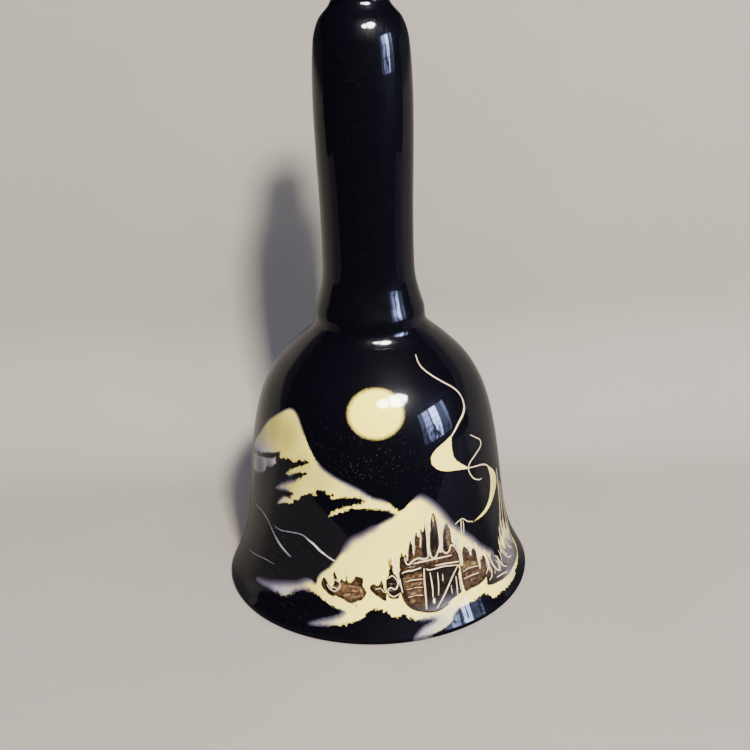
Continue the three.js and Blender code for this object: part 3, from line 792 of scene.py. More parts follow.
def tube(name, line, radii, sides=16, closed=False):
    """A round wire along a line of points."""
    line = np.asarray(line, float)
    count = len(line)
    radii = np.broadcast_to(radii, count)
    if closed:
        way = np.roll(line, -1, axis=0) - np.roll(line, 1, axis=0)
    else:
        way = np.gradient(line, axis=0)
    way /= np.linalg.norm(way, axis=1)[:, None]
    side = np.cross(way[0], [0.3, 0.9, 0.2])
    sides_at = []
    for direction in way:
        side = side - direction * (side @ direction)
        side /= np.linalg.norm(side)
        sides_at.append(side)
    across = np.array(sides_at)
    over = np.cross(way, across)
    angle = np.arange(sides) * 2 * np.pi / sides
    ring = across[:, None] * np.cos(angle)[:, None] + over[:, None] * np.sin(angle)[:, None]
    points = (line[:, None] + ring * radii[:, None, None]).reshape(-1, 3)
    faces = []
    for i in range(count if closed else count - 1):
        for j in range(sides):
            k = (j + 1) % sides
            a, b = i * sides, (i + 1) % count * sides
            faces.append([a + j, a + k, b + k, b + j])
    if not closed:
        faces.append(list(range(sides - 1, -1, -1)))
        faces.append([(count - 1) * sides + j for j in range(sides)])
    return mesh_object(name, points, faces)


def uneven(piece, depth, waves):
    """Presses shallow hollows into a round piece. Waves are (turns, rate, start)."""
    mesh = piece.data
    places = np.empty(len(mesh.vertices) * 3, np.float32)
    mesh.vertices.foreach_get("co", places)
    places = places.reshape(-1, 3)
    azimuth = np.arctan2(places[:, 1], places[:, 0])
    up = places[:, 2] / MM
    swell = sum(np.sin(turns * azimuth + rate * up + start) for turns, rate, start in waves)
    places[:, :2] *= (1 - depth * (0.5 - 0.5 * swell / len(waves)))[:, None]
    mesh.vertices.foreach_set("co", places.ravel())
    mesh.update()


def upright(points, turn):
    """Points (across, up) of an upright plane through the axis, as places in mm."""
    points = np.asarray(points, float)
    turn = math.radians(turn)
    across, up = points[:, 0], points[:, 1]
    return np.stack([across * math.cos(turn), across * math.sin(turn), up], axis=1)


def heights_of(node):
    """The lowest and the highest point of a piece of the frame, in mm."""
    low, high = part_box(node)
    return low.z / MM, high.z / MM


def drawn_lines(name, lines, height):
    """Thin raised lines on the shell, tapered at both ends, joined in one piece."""
    bow = np.array([(-1, -0.8), (-0.74, 0.92), (0, 1), (0.74, 0.92), (1, -0.8)])
    points, faces = [], []
    for width, marks in lines:
        line = curve_through(marks, 8)
        way = np.gradient(flat(line[:, 0], line[:, 1]), axis=0)
        way /= np.linalg.norm(way, axis=1)[:, None] + 1e-9
        along = np.linspace(0, 1, len(line))
        taper = 0.35 + 0.65 * np.sin(np.pi * np.clip(along, 0.02, 0.98)) ** 0.5
        place, normal = on_shell(line[:, 0], line[:, 1])
        angle = np.radians(line[:, 0])
        east = np.stack([np.cos(angle), np.sin(angle), 0 * angle], axis=1)
        up = np.cross(normal, east) * -1
        up *= np.sign(up[:, 2:3])
        across = east * -way[:, 1:] + up * way[:, :1]
        across /= np.linalg.norm(across, axis=1)[:, None]
        start = len(points)
        half = width / 2 * taper
        for i in range(len(line)):
            for offset, rise in bow:
                aside = across[i] * offset * half[i]
                points.append(place[i] + aside + normal[i] * rise * height / MM)
        for i in range(len(line) - 1):
            for j in range(len(bow) - 1):
                a = start + i * len(bow) + j
                faces.append([a, a + len(bow), a + len(bow) + 1, a + 1])
    return mesh_object(name, points, faces, smooth=False)


def store(piece, name, values):
    """Keeps one number a point with the mesh, for the material to read."""
    field = piece.data.attributes.new(name, "FLOAT", "POINT")
    field.data.foreach_set("value", np.asarray(values, np.float32))


# ---- Node helpers ----
def put(tree, kind, inputs=None, **settings):
    """Adds a node. A socket among the inputs is linked, and a plain value is set."""
    node = tree.nodes.new("ShaderNode" + kind)
    for key, value in settings.items():
        setattr(node, key, value)
    for key, value in (inputs or {}).items():
        join(tree, node.inputs[key], value)
    return node


def join(tree, socket, value):
    """Link a socket to another one, or set it to a number, a colour or a vector."""
    if isinstance(value, bpy.types.NodeSocket):
        tree.links.new(value, socket)
    elif socket.type == "RGBA" and len(value) == 3:
        socket.default_value = (*value, 1.0)
    else:
        socket.default_value = value


def calc(tree, operation, *values):
    """A Math node's result."""
    return put(tree, "Math", dict(enumerate(values)), operation=operation).outputs[0]


def product(tree, *values):
    """The values multiplied together."""
    result = values[0]
    for value in values[1:]:
        result = calc(tree, "MULTIPLY", result, value)
    return result


def total(tree, *values):
    """The values added together."""
    result = values[0]
    for value in values[1:]:
        result = calc(tree, "ADD", result, value)
    return result


def centred(tree, value):
    """A value about 0 from one about a half."""
    return calc(tree, "SUBTRACT", value, 0.5)


def blend_colours(tree, factor, a, b):
    """Colour a, going to b as factor goes from 0 to 1."""
    return put(tree, "Mix", {0: factor, 6: a, 7: b}, data_type="RGBA").outputs[2]


def span(tree, value, low, high, to_low=0.0, to_high=1.0, smooth=False):
    """The value mapped from one range to another, and held there."""
    kind = "SMOOTHSTEP" if smooth else "LINEAR"
    ends = {"From Min": low, "From Max": high, "To Min": to_low, "To Max": to_high}
    return put(tree, "MapRange", {"Value": value, **ends}, interpolation_type=kind).outputs[0]


def noise(tree, place, scale, detail=3.0, roughness=0.5, distortion=0.0):
    """A noise texture's value, about a half."""
    shape = {"Scale": scale, "Detail": detail, "Roughness": roughness, "Distortion": distortion}
    return put(tree, "TexNoise", {"Vector": place, **shape}).outputs[0]


def field(tree, name):
    """A number that the mesh holds."""
    return put(tree, "Attribute", attribute_name=name).outputs["Fac"]


def stretched(tree, place, factors):
    """A place with each coordinate multiplied by its own factor."""
    return put(tree, "VectorMath", {0: place, 1: factors}, operation="MULTIPLY").outputs[0]


def length(tree, place):
    """How far a place is from the middle."""
    return put(tree, "VectorMath", {0: place}, operation="LENGTH").outputs["Value"]


def millimetres(tree):
    """The piece's own coordinates in mm."""
    return stretched(tree, put(tree, "TexCoord").outputs["Object"], (1 / MM, 1 / MM, 1 / MM))


def new_group(name, inputs, outputs):
    """A shader node group with named sockets. Returns it, its inputs and its output node."""
    group = bpy.data.node_groups.new(name, "ShaderNodeTree")
    for label, default in inputs.items():
        socket = group.interface.new_socket(label, in_out="INPUT", socket_type="NodeSocketFloat")
        socket.default_value = default
    for label in outputs:
        group.interface.new_socket(label, in_out="OUTPUT", socket_type="NodeSocketFloat")
    given = group.nodes.new("NodeGroupInput").outputs
    return group, given, group.nodes.new("NodeGroupOutput").inputs


def use(tree, group, **inputs):
    """Places a group and returns its outputs. Underscores stand for spaces in socket names."""
    node = put(tree, "Group", node_tree=group)
    for key, value in inputs.items():
        join(tree, node.inputs[key.replace("_", " ")], value)
    return node.outputs


def ragged_edge_group():
    """Turns a depth in mm into a mask with a ragged edge, or a misty one where it is soft."""
    sockets = {"Depth": 0.0, "Softness": 0.0, "Ragged": 0.5, "Mist": 1.4}
    tree, given, out = new_group("Ragged edge", sockets, ["Mask"])
    softness = given["Softness"]
    place = millimetres(tree)
    coarse = centred(tree, noise(tree, place, 1.3, 5.0, 0.68))
    fine = centred(tree, noise(tree, place, 6.0, 3.0, 0.7))
    shake = total(tree, coarse, product(tree, fine, 0.35))
    shake = product(tree, shake, given["Ragged"], calc(tree, "SUBTRACT", 1.15, softness))
    depth = total(tree, given["Depth"], shake, product(tree, fine, softness, 0.9))
    reach = total(tree, product(tree, softness, given["Mist"]), 0.07)
    mask = span(tree, depth, product(tree, reach, -0.45), reach, smooth=True)
    tree.links.new(mask, out["Mask"])
    return tree


def glaze_group():
    """Ripple of a fired glaze as a height in mm, and its specks and clouds as masks."""
    sockets = {"Ripple": 0.02, "Speck size": 0.35}
    tree, given, out = new_group("Fired glaze", sockets, ["Height", "Specks", "Cloud"])
    place = millimetres(tree)
    broad = product(tree, centred(tree, noise(tree, place, 0.16, 1.5)), 2.2)
    peel = product(tree, centred(tree, noise(tree, place, 0.9, 1.0)), 0.12)
    tree.links.new(product(tree, total(tree, broad, peel), given["Ripple"]), out["Height"])
    scale = calc(tree, "DIVIDE", 1.0, given["Speck size"])
    cells = put(tree, "TexVoronoi", {"Vector": place, "Scale": scale}).outputs
    chance = put(tree, "SeparateColor", {0: cells["Color"]}).outputs[0]
    size = span(tree, chance, 0.4, 1.0, 0.0, 0.3)
    tree.links.new(calc(tree, "LESS_THAN", cells["Distance"], size), out["Specks"])
    tree.links.new(noise(tree, place, 0.35, 5.0, 0.6), out["Cloud"])
    return tree


def grain_group():
    """Brush grain that runs round the bell, as a value from 0 to 1."""
    sockets = {"Across": 0.25, "Up": 2.4, "Contrast": 1.6}
    tree, given, out = new_group("Brush grain", sockets, ["Value"])
    factors = {0: given["Across"], 1: given["Across"], 2: given["Up"]}
    place = stretched(tree, millimetres(tree), put(tree, "CombineXYZ", factors).outputs[0])
    streaks = centred(tree, noise(tree, place, 1.0, 5.0, 0.65, 0.4))
    value = total(tree, product(tree, streaks, given["Contrast"]), 0.5)
    tree.links.new(span(tree, value, 0.0, 1.0), out["Value"])
    return tree


def wear_group():
    """Tarnish and rubbing on small metal fittings, as masks from 0 to 1."""
    tree, given, out = new_group("Metal wear", {"Scale": 1.0}, ["Tarnish", "Scratches"])
    place = millimetres(tree)
    blotches = noise(tree, place, given["Scale"], 5.0, 0.65)
    tree.links.new(span(tree, blotches, 0.4, 0.68, smooth=True), out["Tarnish"])
    drawn = stretched(tree, place, (6.0, 6.0, 0.7))
    tree.links.new(noise(tree, drawn, 1.0, 4.0, 0.7), out["Scratches"])
    return tree


def groups():
    """The shared node groups, built once."""
    makers = {
        "Ragged edge": ragged_edge_group, "Fired glaze": glaze_group,
        "Brush grain": grain_group, "Metal wear": wear_group,
    }
    return {name: bpy.data.node_groups.get(name) or make() for name, make in makers.items()}


def new_material(name):
    """A material with a Principled shader. Returns it, its tree and the shader."""
    material = bpy.data.materials.new(name)
    material.use_nodes = True
    tree = material.node_tree
    return material, tree, tree.nodes["Principled BSDF"]


def set_shader(tree, shader, **inputs):
    """Sets or links the shader's sockets. Underscores stand for spaces in their names."""
    for key, value in inputs.items():
        join(tree, shader.inputs[key.replace("_", " ")], value)


def bump(tree, height):
    """A normal from a height in mm."""
    return put(tree, "Bump", {"Height": height, "Distance": MM, "Strength": 1.0}).outputs[0]


def colour_of(name):
    """One of the colours in the panel."""
    return tuple(getattr(bpy.context.scene.bell_colours, name))


def shell_glaze():
    """Black glaze with the drawing under a clear coat, a bare foot ring and a cream inside."""
    material, tree, shader = new_material("drawn_glaze")
    kit = groups()
    edge = kit["Ragged edge"]
    glaze = use(tree, kit["Fired glaze"], Ripple=0.014, Speck_size=0.5)
    cloud = glaze["Cloud"]
    soft, veil, bare = field(tree, "soft"), field(tree, "veil"), field(tree, "bare")
    roughly = span(tree, field(tree, "ragged"), 0.0, 1.0, 0.45, 2.3)
    snow = use(tree, edge, Depth=field(tree, "snow"), Softness=soft, Ragged=roughly, Mist=2.4)
    moon = use(tree, edge, Depth=field(tree, "moon"), Softness=0.65, Ragged=1.7, Mist=1.5)
    pale = calc(tree, "MAXIMUM", snow["Mask"], moon["Mask"])

    # Cream with faint clouds, darker on the left in painted shade, then brown washes and a mist of black
    # over it all.
    cream = blend_colours(tree, moon["Mask"], colour_of("cream"), colour_of("moon"))
    cream = blend_colours(tree, span(tree, cloud, 0.35, 0.75, 0.0, 0.3), cream, CLOUDED_CREAM)
    # Painted shade: the "thin" field darkens the cream where less light falls.
    cream = blend_colours(tree, field(tree, "thin"), cream, SHADED_CREAM)
    cream = wash_over(tree, cream)
    misted = blend_colours(tree, span(tree, veil, 0.0, 1.0), cream, colour_of("veil"))
    misted = blend_colours(tree, span(tree, veil, 1.0, 2.0), misted, THICK_VEIL)
    half_way = span(tree, pale, 0.1, 0.95, smooth=True)
    half_tone = blend_colours(tree, half_way, colour_of("overspray"), misted)
    painted = blend_colours(tree, span(tree, soft, 0.1, 0.4), misted, half_tone)

    # The black has a mist of pale specks.
    dusty = span(tree, field(tree, "dust"), 0.0, 1.0, 0.006, 0.08)
    dust = product(tree, glaze["Specks"], dusty)
    black = blend_colours(tree, dust, colour_of("black"), PALE_SPECK)
    outside = blend_colours(tree, pale, black, painted)

    # The black stops at the lip in a ragged line, and inside is clear glaze on the cream body.
    coat = use(tree, edge, Depth=field(tree, "coat"), Softness=0.35, Ragged=1.6, Mist=1.6)["Mask"]
    lining = blend_colours(tree, span(tree, cloud, 0.3, 0.7), LINING, LINING_LIGHT)
    dirt = blend_colours(tree, span(tree, cloud, 0.35, 0.65), FOOT_BARE, FOOT_DIRTY)
    body = blend_colours(tree, coat, lining, outside)
    body = blend_colours(tree, bare, body, dirt)

    height = total(tree, glaze["Height"], product(tree, calc(tree, "SUBTRACT", 1.0, pale), 0.02))
    set_shader(
        tree, shader, Base_Color=body, Roughness=span(tree, bare, 0.0, 1.0, 0.3, 0.85),
        Specular_IOR_Level=0.06, Coat_Weight=calc(tree, "SUBTRACT", 1.0, bare),
        Coat_Roughness=0.03, Coat_IOR=1.5, Normal=bump(tree, height),
    )
    return material


def wash_over(tree, cream):
    """Brown wash: mottled, streaked along the boards and darker at its edge."""
    kit = groups()
    depth = field(tree, "wood")
    mask = use(tree, kit["Ragged edge"], Depth=depth, Softness=0.06, Ragged=0.7, Mist=1.2)["Mask"]
    mottle = centred(tree, noise(tree, millimetres(tree), 1.1, 6.0, 0.75))
    grain = use(tree, kit["Brush grain"], Across=0.5, Up=2.6, Contrast=1.4)["Value"]
    streak = centred(tree, grain)
    rim = span(tree, depth, 0.0, 0.8, 0.4, 0.0)
    marks = total(tree, product(tree, mottle, 2.0), product(tree, streak, 0.6), rim)
    tone = total(tree, field(tree, "wash"), 0.17, marks)
    ramp_node = put(tree, "ValToRGB", {"Fac": tone})
    stops = [
        (0.0, colour_of("gold")), (1.0, DARKEST_WASH), (0.3, colour_of("tan")),
        (0.52, MIDDLE_WASH), (0.76, colour_of("umber")),
    ]
    elements = ramp_node.color_ramp.elements
    for i, (at, colour) in enumerate(stops):
        element = elements[i] if i < 2 else elements.new(at)
        element.position = at
        element.color = (*colour, 1.0)
    return blend_colours(tree, mask, cream, ramp_node.outputs["Color"])


def plain_glaze():
    """Black glaze on the handle and the seam."""
    material, tree, shader = new_material("black_glaze")
    glaze = use(tree, groups()["Fired glaze"], Ripple=0.014, Speck_size=0.5)
    dust = product(tree, glaze["Specks"], 0.012)
    set_shader(
        tree, shader, Base_Color=blend_colours(tree, dust, colour_of("black"), PALE_SPECK),
        Roughness=span(tree, glaze["Cloud"], 0.3, 0.7, 0.26, 0.34), Specular_IOR_Level=0.06,
        Coat_Weight=1.0, Coat_Roughness=0.03, Coat_IOR=1.5, Normal=bump(tree, glaze["Height"]),
    )
    return material


def line_paint(name, pale, dark):
    """Paint for drawn lines, between two tones along the brush grain."""
    material, tree, shader = new_material(name)
    kit = groups()
    grain = use(tree, kit["Brush grain"], Across=1.2, Up=1.2, Contrast=1.8)["Value"]
    tone = product(tree, total(tree, grain, use(tree, kit["Fired glaze"])["Cloud"]), 0.5)
    set_shader(
        tree, shader, Base_Color=blend_colours(tree, span(tree, tone, 0.35, 0.65), pale, dark),
        Roughness=0.3, Specular_IOR_Level=0.06, Coat_Weight=1.0, Coat_Roughness=0.03,
        Coat_IOR=1.5,
    )
    return material


def brass_wire():
    """Tarnished brass, made once for the staple, the chain and the clapper's pin."""
    if "brass_wire" in bpy.data.materials:
        return bpy.data.materials["brass_wire"]
    material, tree, shader = new_material("brass_wire")
    wear = use(tree, groups()["Metal wear"], Scale=0.8)
    set_shader(
        tree, shader, Base_Color=blend_colours(tree, wear["Tarnish"], colour_of("brass"), TARNISH),
        Metallic=1.0, Roughness=span(tree, wear["Scratches"], 0.3, 0.7, 0.22, 0.5),
        Normal=bump(tree, product(tree, wear["Scratches"], 0.03)),
    )
    return material


def plaster():
    """Coarse setting plaster."""
    material, tree, shader = new_material("setting_plaster")
    place = millimetres(tree)
    lumps, grit = noise(tree, place, 0.9, 4.0), noise(tree, place, 6.0, 3.0)
    height = total(tree, product(tree, lumps, 0.25), product(tree, grit, 0.06))
    colour = blend_colours(tree, span(tree, lumps, 0.3, 0.7), colour_of("cement"), DAMP_CEMENT)
    set_shader(tree, shader, Base_Color=colour, Roughness=0.9, Normal=bump(tree, height))
    return material


def bead_porcelain():
    """Cream porcelain with brown specks and worn glaze."""
    material, tree, shader = new_material("bead_porcelain")
    glaze = use(tree, groups()["Fired glaze"], Ripple=0.01, Speck_size=0.8)
    cloud = span(tree, glaze["Cloud"], 0.3, 0.7)
    specks = product(tree, glaze["Specks"], 0.25)
    colour = blend_colours(tree, cloud, BEAD_CREAM, BEAD_SHADE)
    set_shader(
        tree, shader, Base_Color=blend_colours(tree, specks, colour, BEAD_SPECK),
        Roughness=span(tree, cloud, 0.0, 1.0, 0.32, 0.5), Coat_Weight=0.35, Coat_Roughness=0.2,
        Normal=bump(tree, glaze["Height"]),
    )
    return material


def floor_finish():
    """A plain pale finish for the floor and the backdrop."""
    material, tree, shader = new_material("floor")
    tone = span(tree, noise(tree, millimetres(tree), 0.02, 4.0), 0.3, 0.7)
    pale = Vector(colour_of("floor"))
    colour = blend_colours(tree, tone, tuple(pale), tuple(pale * 0.94))
    set_shader(tree, shader, Base_Color=colour, Roughness=0.9)
    return material


# ---- Operators ----
class BELL_OT_camera(bpy.types.Operator):
    """Places the camera"""

    bl_idname = "bell.camera"
    bl_label = "Camera"

    def execute(self, context):
        stage = context.scene.bell_stage
        data = bpy.data.cameras.new("camera")
        data.sensor_width = 36.0
        data.lens = stage.lens
        data.clip_start = 0.01
        camera = bpy.data.objects.new("camera", data)
        context.scene.collection.objects.link(camera)
        context.scene.camera = camera
        turn = (
            Matrix.Rotation(-stage.camera_yaw, 4, "Z")
            @ Matrix.Rotation(math.pi / 2 - stage.camera_pitch, 4, "X")
            @ Matrix.Rotation(-stage.camera_roll, 4, "Z")
        )
        place = Matrix.Translation((0, -stage.camera_distance, stage.camera_height))
        camera.matrix_world = place @ turn
        return {"FINISHED"}


class BELL_OT_shell(bpy.types.Operator):
    """Turns the shell and stores the drawing on it"""

    bl_idname = "bell.shell"
    bl_label = "Shell"

    def execute(self, context):
        sizes = context.scene.bell_sizes
        pitch = sizes.art_pitch / MM
        outside = self.rows(pitch)
        edge = np.array([(r * MOUTH_RADIUS, z * SEAT_HEIGHT) for r, z in SHOULDER_EDGE])
        edge = curve_through(np.concatenate([outside[-2:], edge]), 3)[4:]
        ceiling = SEAT_HEIGHT - CROWN_THICKNESS
        inside = inside_of(evenly(OUTSIDE, 40), SHELL_WALL)
        kept = (inside[:, 1] > FOOT_RADII[1] - FOOT_RADII[0]) & (inside[:, 1] < ceiling - 1.6)
        inside = inside[kept][::-1]
        cove = [(inside[0, 0] - 1.4, ceiling - 0.55), (inside[0, 0] - 3.2, ceiling - 0.05)]
        crown = [
            (CROWN_HOLE_RADIUS + 5, SEAT_HEIGHT), (CROWN_HOLE_RADIUS + 0.3, SEAT_HEIGHT),
            (CROWN_HOLE_RADIUS, SEAT_HEIGHT - 0.3), (CROWN_HOLE_RADIUS, ceiling + 0.3),
            (CROWN_HOLE_RADIUS + 0.3, ceiling), (CROWN_HOLE_RADIUS + 4, ceiling),
        ]
        lip = curve_through([(FOOT_RADII[1], 0), (37.6, 0.12), (37.92, 0.5), outside[0]], 4)[1:-1]
        turn_in = [inside[-1], (33.6, 2.3), (34.6, 0.7), (35.1, 0.14), (FOOT_RADII[0], 0)]
        inner_lip = curve_through(turn_in, 4)[1:]
        foot = np.array([(36.0, 0), (36.6, 0), (FOOT_RADII[1], 0)])
        profile = np.concatenate([lip, outside, edge, crown, cove[::-1], inside, inner_lip, foot])
        step = math.degrees(pitch / 31)
        azimuths = np.concatenate([
            np.arange(-100, -28, 1.9 * step), np.arange(-28, 76, step),
            np.arange(76, 100, 2.4 * step), np.linspace(100, 260, 40, endpoint=False),
        ])
        shell = turned("bell_shell_fine", profile, azimuths)

        wide = len(azimuths)
        azimuth = np.tile(np.where(azimuths > 180, azimuths - 360, azimuths), len(profile))
        height = np.repeat(profile[:, 1], wide)
        row = np.repeat(np.arange(len(profile)), wide)
        outer = row < len(lip) + len(outside)
        fields = drawing_fields(azimuth, height)
        for name, values in fields.items():
            if name in ("moon", "snow", "wood"):
                values = np.where(outer, values, -9.0)
            store(shell, name, values)
        # Length along the profile from the inner edge of the lip gives where the black stops.
        past = arc_length(profile)
        first_inner = len(lip) + len(outside) + len(edge) + len(crown) + len(cove)
        inner_start = past[first_inner + len(inside)]
        coat = np.where(np.arange(len(profile)) < first_inner, 9.0, past - inner_start - 1.5)
        store(shell, "coat", np.repeat(np.clip(coat, -9, 9), wide))
        on_ring = (profile[:, 1] < 0.01) & (profile[:, 0] > FOOT_RADII[0] - 0.1)
        store(shell, "bare", np.repeat(on_ring.astype(float), wide))
        shell.data.materials.append(shell_glaze())
        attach(shell, ROOT)
        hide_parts("bell_shell")
        return {"FINISHED"}

    def rows(self, pitch):
        """The outside's rows, closer together over the cabin than above it."""
        change, end = np.interp(34, OUTSIDE[:, 1], OUTSIDE_LENGTH), OUTSIDE_LENGTH[-1]
        low = np.arange(0, change, 1.15 * pitch)
        high = np.linspace(change, end, int((end - change) / (1.7 * pitch)))
        at = np.concatenate([low, high])
        return np.stack([np.interp(at, OUTSIDE_LENGTH, OUTSIDE[:, i]) for i in range(2)], axis=1)


class BELL_OT_handle(bpy.types.Operator):
    """Turns the hollow handle and the seam of glaze round its foot"""

    bl_idname = "bell.handle"
    bl_label = "Handle"

    def execute(self, context):
        rise = TOP_HEIGHT - SEAT_HEIGHT
        outline = np.array([(r, SEAT_HEIGHT + share * rise) for r, share in GRIP_OUTLINE])
        fine = curve_through(outline, 12)
        outside = evenly(fine, 200)
        outside[-1, 0] = 0.0
        outside = outside[outside[:, 1] > SEAT_HEIGHT + 1.9]
        foot = [(r, SEAT_HEIGHT + up) for r, up in ((12.7, 0), (13.0, 0.08), (13.12, 0.4), (13.12, 1.1))]
        foot = curve_through([*foot, tuple(outside[0])], 4)[:-1]
        bore = inside_of(evenly(curve_through(outline[:-12], 8), 30), HANDLE_WALL)
        bore[0, 1] = SEAT_HEIGHT
        angle = np.linspace(np.pi / 2, 0, 8, endpoint=False)
        radius, start = bore[-1]
        dome = np.stack([radius * np.cos(angle), start + 0.6 * radius * np.sin(angle)], axis=1)
        dome[0, 0] = 0.0
        profile = np.concatenate([dome, bore[::-1], foot, outside])
        handle = turned("handle_fine", profile, np.arange(0, 360, 2.5))
        finish = plain_glaze()
        handle.data.materials.append(finish)
        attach(handle, ROOT)
        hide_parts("handle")

        face = curve_through([(r, SEAT_HEIGHT + up) for r, up in SEAM_FACE], 6)
        back = [(r, SEAT_HEIGHT + up) for r, up in SEAM_BACK]
        seam = turned("glaze_seam", np.concatenate([face, back]), np.arange(0, 360, 2.5))
        seam.data.materials.append(finish)
        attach(seam, ROOT)
        return {"FINISHED"}


class BELL_OT_lines(bpy.types.Operator):
    """Draws the thin lines of the scene"""

    bl_idname = "bell.lines"
    bl_label = "Drawn lines"

    def execute(self, context):
        height = context.scene.bell_sizes.line_height
        kinds = {
            "cream_lines": (CREAM_LINES, (0.84, 0.73, 0.45), (0.56, 0.45, 0.28)),
            "brown_lines": (BROWN_LINES, (0.014, 0.008, 0.005), (0.05, 0.026, 0.012)),
            "grey_lines": (GREY_LINES, (0.21, 0.2, 0.25), (0.09, 0.085, 0.11)),
            "pale_branches": (PALE_BRANCHES, (0.6, 0.57, 0.5), (0.4, 0.38, 0.36)),
            "gold_lines": (GOLD_LINES, colour_of("gold"), (0.42, 0.24, 0.05)),
        }
        for name, (lines, pale, dark) in kinds.items():
            piece = drawn_lines(name, lines, height)
            piece.data.materials.append(line_paint(name + "_paint", pale, dark))
            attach(piece, ROOT)
        return {"FINISHED"}


class BELL_OT_plaster(bpy.types.Operator):
    """Sets the plug of plaster in the crown's hole"""

    bl_idname = "bell.plaster"
    bl_label = "Crown plaster"

    def execute(self, context):
        ceiling = SEAT_HEIGHT - CROWN_THICKNESS
        lower = curve_through([(r, ceiling + up) for r, up in LOWER_PAD], 4)
        upper = curve_through([(r, SEAT_HEIGHT + up) for r, up in UPPER_PAD], 4)
        neck_radius = CROWN_HOLE_RADIUS - 0.3
        neck = [(neck_radius, ceiling - 0.3), (neck_radius, SEAT_HEIGHT + 0.3)]
        plug = turned("crown_plaster", np.concatenate([lower, neck, upper]), np.arange(0, 360, 5))
        uneven(plug, 0.09, [(2, 0.3, 0.4), (3, 0.9, 1.7), (5, 1.3, 0.2), (8, 2.1, 2.6)])
        plug.data.materials.append(plaster())
        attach(plug, ROOT)
        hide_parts("crown_cement")
        return {"FINISHED"}


class BELL_OT_chain(bpy.types.Operator):
    """Hangs the staple and the links of the chain"""

    bl_idname = "bell.chain"
    bl_label = "Staple and chain"

    def execute(self, context):
        sides = context.scene.bell_sizes.wire_sides
        finish = brass_wire()
        eye_bottom = heights_of("hanger_staple")[0] + FRAME_WIRE_RADIUS
        half = [(across, eye_bottom + up) for across, up in STAPLE_LEG]
        mirrored = [(-across, up) for across, up in reversed(half)]
        line = curve_through(upright([*half, (0, eye_bottom), *mirrored], STAPLE_TURN), 6)
        staple = tube("staple_wire", line, WIRE_RADIUS, sides)
        staple.data.materials.append(finish)
        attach(staple, ROOT)
        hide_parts("hanger_staple")
        for i in range(1, LINK_COUNT + 1):
            line, radii = self.link(*heights_of(f"chain_link_{i}"))
            line = upright(line, STAPLE_TURN + 90 * i)
            link = tube(f"link_wire_{i}", line, radii, sides, closed=True)
            link.data.materials.append(finish)
            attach(link, f"link_{i}")
            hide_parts(f"chain_link_{i}")
        return {"FINISHED"}

    def link(self, low, high):
        """A link's centre line and radii: two bends, and the gap of its joint in one straight."""
        angle = np.linspace(0, np.pi, 15)
        bend = LINK_BEND_RADIUS * np.stack([np.cos(angle), np.sin(angle)], axis=1)
        room = FRAME_WIRE_RADIUS + LINK_BEND_RADIUS
        top, bottom = high - room, low + room
        middle = (top + bottom) / 2
        joint = [0.5, 0.07, 0.03, -0.03, -0.07, -0.5]
        joint = [(-LINK_BEND_RADIUS, middle + up) for up in joint]
        back = [(LINK_BEND_RADIUS, middle + up) for up in (-0.5, 0.5)]
        line = np.concatenate([bend + (0, top), joint, -bend + (0, bottom), back])
        radii = np.full(len(line), WIRE_RADIUS)
        radii[len(bend) + 2:len(bend) + 4] = 0.8 * WIRE_RADIUS
        return line, radii


class BELL_OT_clapper(bpy.types.Operator):
    """Hangs the clapper: an eye pin, its peened head and the bead"""

    bl_idname = "bell.clapper"
    bl_label = "Clapper"

    def execute(self, context):
        sides = context.scene.bell_sizes.wire_sides
        finish = brass_wire()
        turn = STAPLE_TURN + 90 * (LINK_COUNT + 1)
        low, high = heights_of("clapper_pin")
        bead_low, bead_high = heights_of("clapper_bead")
        eye = high - FRAME_WIRE_RADIUS - EYE_RADIUS
        neck = eye - EYE_RADIUS - 1.1
        foot = low + FRAME_WIRE_RADIUS
        points = [(0, foot), (0, bead_low + 6), (0, bead_high - 2), (0, neck - 1.4), (0.15, neck)]
        for degrees in range(-52, 229, 14):
            angle = math.radians(degrees)
            points.append((EYE_RADIUS * math.cos(angle), eye + EYE_RADIUS * math.sin(angle)))
        pin = tube("clapper_wire", upright(curve_through(points, 4), turn), WIRE_RADIUS, sides)
        pin.data.materials.append(finish)
        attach(pin, "clapper")
        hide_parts("clapper_pin")

        head = turned("peened_head", [(r, low + up) for r, up in PEENED_HEAD], np.arange(0, 360, 12))
        uneven(head, 0.08, [(2, 0, 0.6), (5, 3, 1.2)])
        head.data.materials.append(finish)
        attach(head, "clapper")

        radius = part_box("clapper_bead")[1].x / MM
        middle = (bead_low + bead_high) / 2
        start = math.asin((BEAD_BORE_RADIUS + 0.35) / radius)
        angle = np.linspace(start, np.pi - start, 44)
        ball = np.stack([radius * np.sin(angle), middle - radius * np.cos(angle)], axis=1)
        bore = [(BEAD_BORE_RADIUS, ball[-1, 1] - 0.3), (BEAD_BORE_RADIUS, ball[0, 1] + 0.3)]
        bead = turned("bead", np.concatenate([ball, bore]), np.arange(0, 360, 5))
        uneven(bead, 0.012, [(2, 0.25, 0.3), (3, 0.5, 2.1), (5, 0.2, 4.0)])
        bead.data.materials.append(bead_porcelain())
        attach(bead, "clapper")
        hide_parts("clapper_bead")
        return {"FINISHED"}


